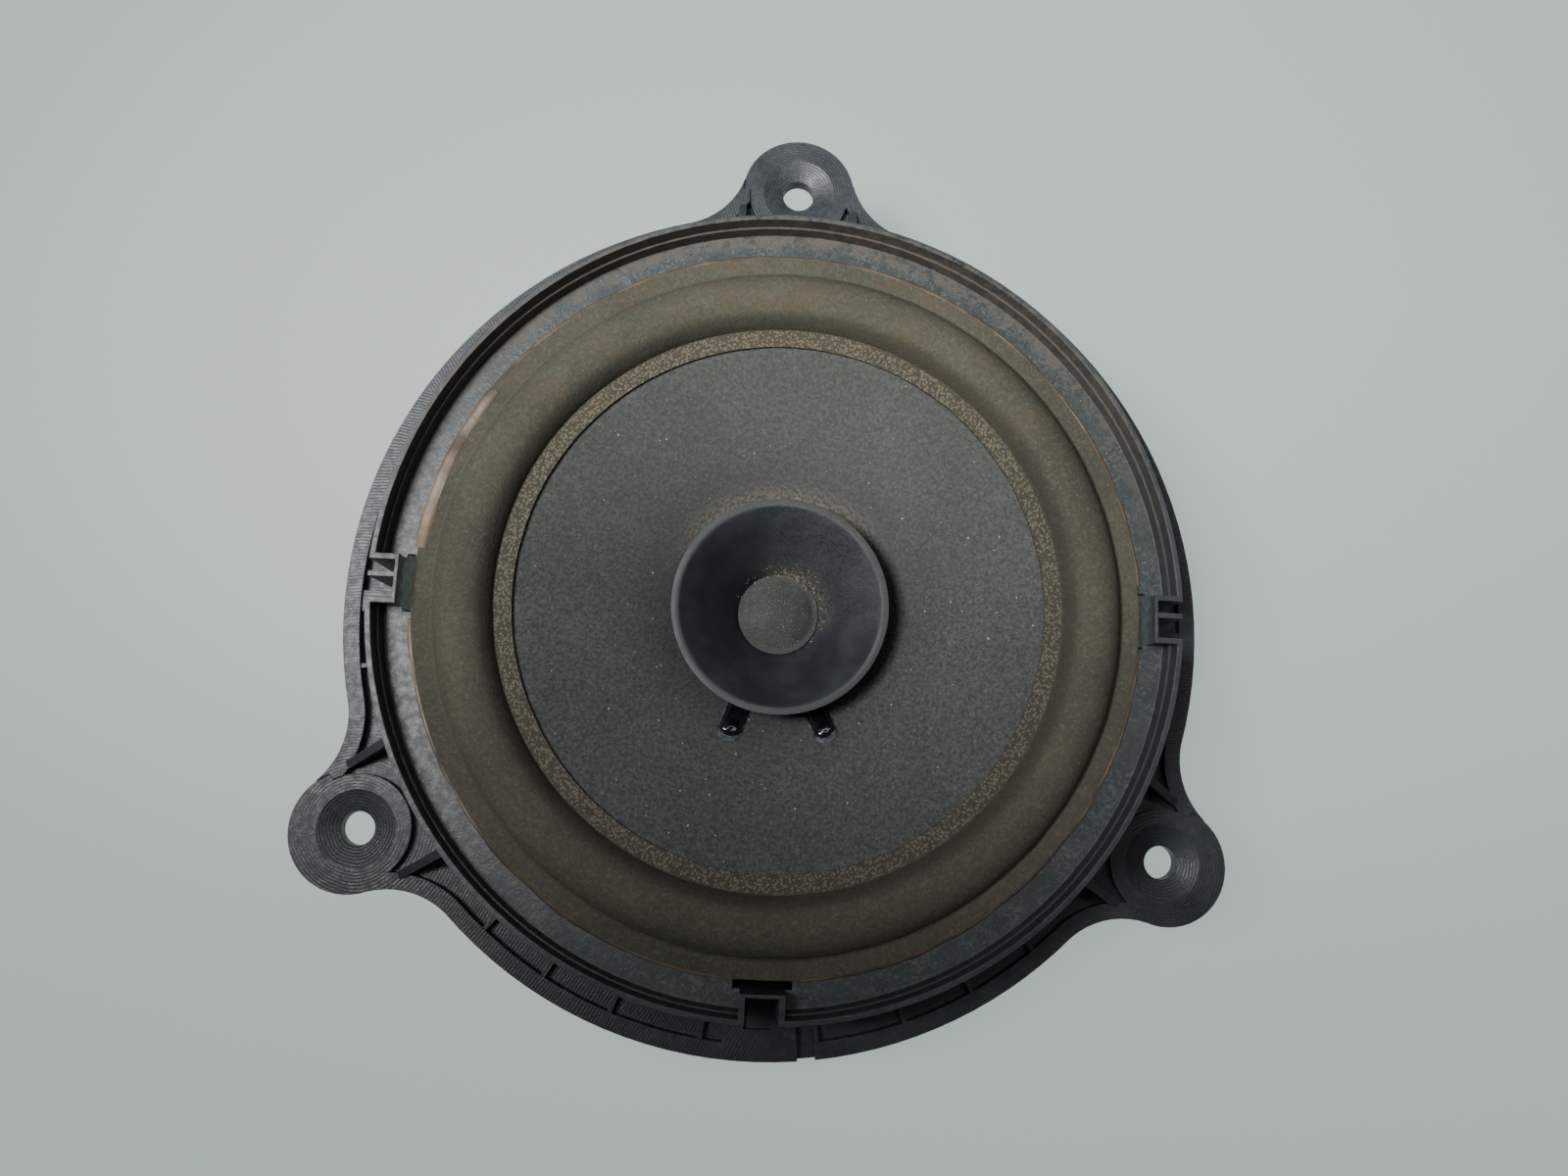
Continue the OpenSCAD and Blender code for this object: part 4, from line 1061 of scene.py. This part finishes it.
def pill(name, length, width, tall):
    """A bar with round ends, flattened to its height."""
    select_nothing()
    bpy.ops.mesh.primitive_cube_add(size=1)
    piece = named(name)
    piece.scale = (length, width, width)
    bpy.ops.object.transform_apply(location=False, rotation=False, scale=True)
    use_modifier(piece, "BEVEL", width=0.47 * width, segments=7)
    piece.scale.z = tall / width
    bpy.ops.object.transform_apply(location=False, rotation=False, scale=True)
    bpy.ops.object.mode_set(mode="EDIT")
    bpy.ops.mesh.select_all(action="SELECT")
    bpy.ops.mesh.subdivide(number_cuts=3)
    bpy.ops.object.mode_set(mode="OBJECT")
    return piece


def glue_on_cone(name, width, tall, lift, reach, lumps):
    """The same pill at both angles, made lumpy and joined. It reaches that much past the bars' outer ends."""
    pieces = []
    for angle in BAR_ANGLES:
        length = (BAR_END_R - BAR_START_R + reach) / math.cos(CONE_SLOPE)
        piece = pill(f"{name}_{angle:.0f}", length, width, tall)
        rough_up(piece, 1.6 * MM, lumps)
        use_modifier(piece, "SMOOTH", factor=0.5, iterations=3)
        lay_on_cone(piece, (BAR_START_R + BAR_END_R + reach) / 2, lift, angle)
        tidy_mesh(piece)
        pieces.append(piece)
    glue = joined(pieces, name)
    tidy_mesh(glue)
    soft_shading(glue, 60)
    report(glue)
    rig.ride(glue, "diaphragm")
    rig.slot(glue, "black_glue")
    return glue


lead_bars = glue_on_cone("lead_glue_bars", width=4.2 * MM, tall=2.6 * MM, lift=0.35 * MM, reach=0.0,
                         lumps=0.5 * MM)
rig.replaces(lead_bars, "lead_glue")
dried_edge = glue_on_cone("dried_glue_edge", width=5.0 * MM, tall=0.45 * MM, lift=0.10 * MM, reach=0.9 * MM,
                          lumps=0.25 * MM)

# %% [markdown]
# ## The flexible leads
# Two braided leads run from the cone to the terminals. Their CAD tubes have the right route, so each is
# copied, merged and smoothed, given a braid's fine unevenness, and bent between the moving cone and the
# still terminals.

# %% Braided leads
LUG_X, LUG_Z = 5 * MM, 5.9 * MM
leads = []
for label in ("positive", "negative"):
    lead = own_copy(nodes["tinsel_lead_" + label])
    lead.parent = None
    lead.name = "braided_lead_" + label
    lead.data.name = lead.name
    tidy_mesh(lead, gap=0.02 * MM)
    use_modifier(lead, "SUBSURF", levels=2, render_levels=2)
    rough_up(lead, 0.5 * MM, 0.14 * MM)
    soft_shading(lead, 60)
    report(lead)
    start, end = [Vector(corner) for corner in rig.box("tinsel_lead_" + label)]
    side = 1 if label == "positive" else -1
    at_lug = Vector((LUG_X * side, start.y, LUG_Z))
    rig.blend(lead, "frame", "diaphragm", start=tuple(at_lug), end=(at_lug.x, end.y, at_lug.z))
    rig.replaces(lead, "tinsel_lead_" + label)
    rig.slot(lead, "lead_braid")
    leads.append(lead)

# %% [markdown]
# ## The foam ring behind the flange
# A soft ring seals the speaker to the door. It is turned as a closed rounded section, and its skin is
# uneven.

# %% Foam seal
seal_out_r = reach_of("rear_seal")
seal_low_z, seal_high_z = low_of("rear_seal"), high_of("rear_seal")
SEAL_W = 6 * MM
EASE = 0.5 * MM
seal_in_r = seal_out_r - SEAL_W
seal_top_z = seal_high_z - 0.05 * MM
under_radii = (seal_in_r + EASE, seal_in_r + 2 * MM, seal_out_r - 2 * MM, seal_out_r - EASE)
under = [(r, seal_low_z) for r in under_radii]
outside = [(seal_out_r, seal_low_z + EASE), (seal_out_r, seal_top_z)]
back_down = [(seal_in_r, seal_top_z), (seal_in_r, seal_low_z + EASE)]
section = under + outside + back_down + under[:1]
seal = turned("foam_seal_ring", section, 260)
rough_up(seal, 4 * MM, 0.12 * MM)
soft_shading(seal, 60)
report(seal)
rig.ride(seal, "frame")
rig.replaces(seal, "rear_seal")
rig.slot(seal, "foam_seal")
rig.padded(seal, fill=0.9)

# %% [markdown]
# ## Grit and specks
# Years in a door leave grit. One small grain is modelled and copied: most of it lies in a crescent about
# the cap's upper right, some above the whizzer's lip, some on the shelf, and pale specks on the cap and the
# cone. Each copy has its own mesh, turn and size. The draws come from one seeded source, so each run strews
# them alike.

# %% Grit
random.seed(7)
select_nothing()
bpy.ops.mesh.primitive_ico_sphere_add(subdivisions=1, radius=0.5)
grain_model = named("grain_model")
rough_up(grain_model, 0.6, 0.3)


def grains(name, places, body, material):
    """Copies the grain to each (x, y, z, size) and joins the copies to one piece."""
    copies = []
    for x, y, z, size in places:
        grain_copy = own_copy(grain_model)
        grain_copy.location = (x, y, z)
        grain_copy.scale = (size * random.uniform(0.7, 1.3), size, size * 0.7)
        grain_copy.rotation_euler = [random.uniform(0, math.tau) for _ in range(3)]
        copies.append(grain_copy)
    piece = joined(copies, name)
    select_only(piece)
    bpy.ops.object.transform_apply(location=True, rotation=True, scale=True)
    dress(piece, material)
    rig.ride(piece, body)
    report(piece)


def cap_height(radius):
    return centre_z + CAP_T / 2 + math.sqrt(sphere_r**2 - radius * radius)


def around_axis(radius, angle, height, size):
    """A grain's (x, y, z, size) from its place round the axis."""
    return radius * math.cos(angle), radius * math.sin(angle), height, size


def crescent_grain():
    angle = random.gauss(math.radians(55), 0.65)
    radius = former_r + abs(random.gauss(0.5, 0.8)) * MM
    on_cap_rim = former_top_z + CAP_T + 0.02 * MM
    height = flare_height(radius) + 0.1 * MM if radius > CAP_RIM_R else on_cap_rim
    return around_axis(radius, angle, height, random.uniform(0.14, 0.36) * MM)


def speck_on_cap():
    angle = random.uniform(0, math.tau)
    radius = dome_r * math.sqrt(random.random()) * 0.95
    return around_axis(radius, angle, cap_height(radius), random.uniform(0.08, 0.2) * MM)


def speck_on_cone():
    angle = random.uniform(0, math.tau)
    radius = random.uniform(21.5, 48) * MM
    size = random.choice((0.14, 0.20, 0.28, 0.40)) * MM
    return around_axis(radius, angle, cone_height(radius) + 0.04 * MM, size)


def grain_by_the_lip():
    angle = random.gauss(math.radians(85), 0.7)
    radius = whizzer_r + random.uniform(-0.2, 3.2) * MM
    return around_axis(radius, angle, cone_height(radius) + 0.05 * MM, random.uniform(0.12, 0.30) * MM)


def grain_on_shelf():
    angle = random.gauss(math.radians(85), 0.8)
    radius = random.uniform(67.5, 71.2) * MM
    return around_axis(radius, angle, shelf_z + 0.06 * MM, random.uniform(0.15, 0.42) * MM)


diaphragm_grit = [crescent_grain() for _ in range(300)]
pale_specks = [speck_on_cap() for _ in range(60)]
pale_specks += [speck_on_cone() for _ in range(150)]
diaphragm_grit += [grain_by_the_lip() for _ in range(160)]
shelf_grit = [grain_on_shelf() for _ in range(120)]
grit_brown, w, s = finish("grit_brown", Roughness=0.9)
tones = w.ramp(w.noise(w.place(), 900.0, 3.0), 0.35, 0.65)
w.put(s["Base Color"], w.mix(tones, rgb(0.15, 0.12, 0.08), rgb(0.28, 0.25, 0.19)))
grit_pale, w, s = finish("grit_pale", Roughness=0.8)
tones = w.ramp(w.noise(w.place(), 700.0, 3.0), 0.35, 0.65)
w.put(s["Base Color"], w.mix(tones, rgb(0.22, 0.24, 0.24), rgb(0.62, 0.66, 0.62)))
grains("grit_on_whizzer", diaphragm_grit, "diaphragm", grit_brown)
grains("specks_on_cone", pale_specks, "diaphragm", grit_pale)
grains("grit_on_shelf", shelf_grit, "frame", grit_brown)
select_only(grain_model)
bpy.ops.object.delete()

# %% [markdown]
# ## Finishes for the CAD parts that stay
# Metals, ferrite, hard plastic and glue each show two close colours in soft patches over a fine grain, so
# one function makes them all.

# %% Simple finishes


def two_tone(name, dark, light, scale, rough, grain_scale, depth, **constants):
    """A finish of two close colours in soft patches, over a fine grain."""
    material, wire, shader = finish(name, **constants)
    where = wire.place()
    texture = wire.group(grain, Place=where, Scale=grain_scale, Coarse=0.3).outputs
    patch = wire.ramp(wire.noise(where, scale, 4.0, 0.6), 0.35, 0.68)
    wire.put(shader["Base Color"], wire.mix(patch, rgb(*dark), rgb(*light)))
    wire.put(shader["Roughness"], wire.math("MULTIPLY_ADD", texture["Mottle"], 0.16, rough))
    bump(wire, shader, texture["Height"], depth, 0.6)
    return material


steel = two_tone("plated_steel", (0.42, 0.41, 0.36), (0.60, 0.58, 0.50), 90.0, 0.26, 1800.0, 0.00004,
                 Metallic=1.0)
tinned = two_tone("tinned_metal", (0.55, 0.55, 0.54), (0.75, 0.75, 0.73), 300.0, 0.22, 2500.0, 0.00003,
                  Metallic=1.0)
brass = two_tone("brass", (0.50, 0.36, 0.14), (0.68, 0.52, 0.23), 300.0, 0.25, 2500.0, 0.00003, Metallic=1.0)
copper = two_tone("winding_copper", (0.45, 0.15, 0.06), (0.66, 0.28, 0.12), 500.0, 0.25, 3000.0, 0.00005,
                  Metallic=1.0)
ferrite = two_tone("ferrite", (0.028, 0.028, 0.031), (0.050, 0.050, 0.053), 120.0, 0.55, 1500.0, 0.0001)
sealed = two_tone("foam_seal", (0.014, 0.014, 0.016), (0.030, 0.030, 0.032), 200.0, 0.80, 1600.0, 0.0004)
kraft = two_tone("former_paper", (0.26, 0.17, 0.09), (0.38, 0.26, 0.15), 300.0, 0.5, 2000.0, 0.00005)
socket_plastic = two_tone("connector_plastic", (0.020, 0.021, 0.023), (0.040, 0.041, 0.044), 150.0, 0.38,
                          1500.0, 0.00008)
black_glue = two_tone("black_glue", (0.004, 0.004, 0.005), (0.010, 0.011, 0.013), 400.0, 0.12, 500.0, 0.0001,
                      Coat_Weight=0.6, Coat_Roughness=0.08)
dried_glue = two_tone("dried_glue", (0.014, 0.018, 0.022), (0.085, 0.105, 0.115), 900.0, 0.45, 2200.0, 0.0001)
clear_glue = two_tone("clear_glue", (0.45, 0.38, 0.24), (0.60, 0.52, 0.36), 200.0, 0.3, 900.0, 0.0001)
lead_braid = two_tone("lead_braid", (0.30, 0.20, 0.10), (0.50, 0.36, 0.20), 900.0, 0.45, 3500.0, 0.0002,
                      Metallic=0.4)
FINISH_OF = {
    "rear_seal": sealed, "lead_glue": black_glue, "neck_glue": black_glue, "cone_eyelets": brass,
    "voice_coil_former": kraft, "voice_coil_winding": copper, "spider_glue_ring": amber, "top_plate": steel,
    "magnet": ferrite, "back_plate": steel, "pole_piece": steel, "magnet_glue": clear_glue,
    "motor_rivets": tinned,
    "connector_housing": socket_plastic, "terminal_positive": tinned, "terminal_negative": tinned,
    "terminal_rivets": brass, "tinsel_lead_positive": lead_braid, "tinsel_lead_negative": lead_braid,
    "lead_solder": tinned,
}
for node_name, material in FINISH_OF.items():
    dress(nodes[node_name], material)
dress(lead_bars, black_glue)
dress(dried_edge, dried_glue)
dress(seal, sealed)
for lead in leads:
    dress(lead, lead_braid)

# %% [markdown]
# ## Table and light
# The speaker stands on its magnet on a pale matt table. The table gives off a little light of its own,
# which keeps it pale under lights that are dim enough for the dark speaker.

# %% Table
TABLE_W = 3.0
select_nothing()
bpy.ops.mesh.primitive_plane_add(size=TABLE_W, location=(0, 0, table_z))
table = named("table")
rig.stage(table)
table_finish, w, s = finish("table_top", IOR=1.45)
place = w.place()
w.put(s["Base Color"], w.mix(w.noise(place, 3.0, 2.0), rgb(0.17, 0.20, 0.185), rgb(0.20, 0.23, 0.215)))
s["Emission Color"].default_value = rgb(0.82, 1.0, 0.92)
s["Emission Strength"].default_value = 0.54
w.put(s["Roughness"], w.math("MULTIPLY_ADD", w.noise(place, 5.0, 2.0), 0.06, 0.50))
dress(table, table_finish)

# %% [markdown]
# The key light comes from the left as a soft pool. A dark card half way down to the speaker shades the
# lower part softly, and the camera doesn't see it. A long dim light overhead and an even dim room fill the
# shadows.

# %% Lights


def soft_light(name, spot, aim, size, power):
    select_nothing()
    bpy.ops.object.light_add(type="AREA", location=spot)
    lamp = bpy.context.object
    lamp.name = name
    lamp.data.shape = "RECTANGLE"
    lamp.data.size, lamp.data.size_y = size
    lamp.data.energy = power
    towards = [a - b for a, b in zip(aim, spot)]
    flat_way = math.hypot(towards[0], towards[1])
    heading = math.atan2(towards[1], towards[0]) - math.pi / 2
    lamp.rotation_euler = (math.atan2(flat_way, -towards[2]), 0, heading)


def pool_of_light(name, spot, aim, spread_deg, size, power):
    """A spot light whose pool fades all the way from its middle to its edge."""
    select_nothing()
    bpy.ops.object.light_add(type="SPOT", location=spot)
    lamp = bpy.context.object
    lamp.name = name
    lamp.data.spot_size = math.radians(spread_deg)
    lamp.data.spot_blend = 1.0
    lamp.data.shadow_soft_size = size
    lamp.data.energy = power
    lamp.rotation_euler = (Vector(aim) - Vector(spot)).to_track_quat("-Z", "Y").to_euler()


KEY_AT = (-0.31, -0.02, 0.66)
SHADE_EDGE_Y = -0.035
CARD_W = 0.6
ROOM_LIGHT = 0.065
pool_of_light("key", KEY_AT, aim=(0.03, 0.06, 0.0), spread_deg=46, size=0.12, power=37.5)
soft_light("overhead", (0.0, 0.30, 1.3), aim=(0, 0.05, 0), size=(1.6, 0.18), power=2.5)
select_nothing()
card_at = (KEY_AT[0] / 2, (KEY_AT[1] + SHADE_EDGE_Y - CARD_W) / 2, KEY_AT[2] / 2)
bpy.ops.mesh.primitive_plane_add(size=CARD_W, location=card_at)
card = named("shade_card")
card.visible_camera = False
card.visible_glossy = False
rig.stage(card)
card_finish, w, s = finish("card_black", Roughness=0.9)
w.put(s["Base Color"], w.mix(w.noise(w.place(), 30.0), rgb(0.01, 0.01, 0.01), rgb(0.02, 0.02, 0.02)))
dress(card, card_finish)
world = bpy.data.worlds.new("room")
bpy.context.scene.world = world
world.use_nodes = True
room = world.node_tree.nodes["Background"].inputs
room["Color"].default_value = rgb(0.86, 0.93, 0.90)
room["Strength"].default_value = ROOM_LIGHT

# %% [markdown]
# ## Camera
# It looks down at the speaker's face from close by, leaning a few degrees, through a fairly wide lens.

# %% Camera
CAMERA_AT = (-0.00653, -0.02959, 0.23674)
CAMERA_LEAN = (9.11, -3.40, 2.6155)
select_nothing()
bpy.ops.object.camera_add(location=CAMERA_AT, rotation=[math.radians(degrees) for degrees in CAMERA_LEAN])
camera = bpy.context.object
camera.data.sensor_width = 36.0
camera.data.lens = 27.0
camera.data.shift_x = -0.015
camera.data.shift_y = -0.008
camera.data.clip_start = 0.01
bpy.context.scene.camera = camera

# %% [markdown]
# ## Both boxes at the end
# The CAD box and the dressed speaker's box are both written down and printed.

# %% Sizes and finish
json.dump({"cad": [list(corner) for corner in cad_box], "visual": [list(corner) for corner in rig.bounds()]},
          open("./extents.json", "w"))
print(open("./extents.json").read())
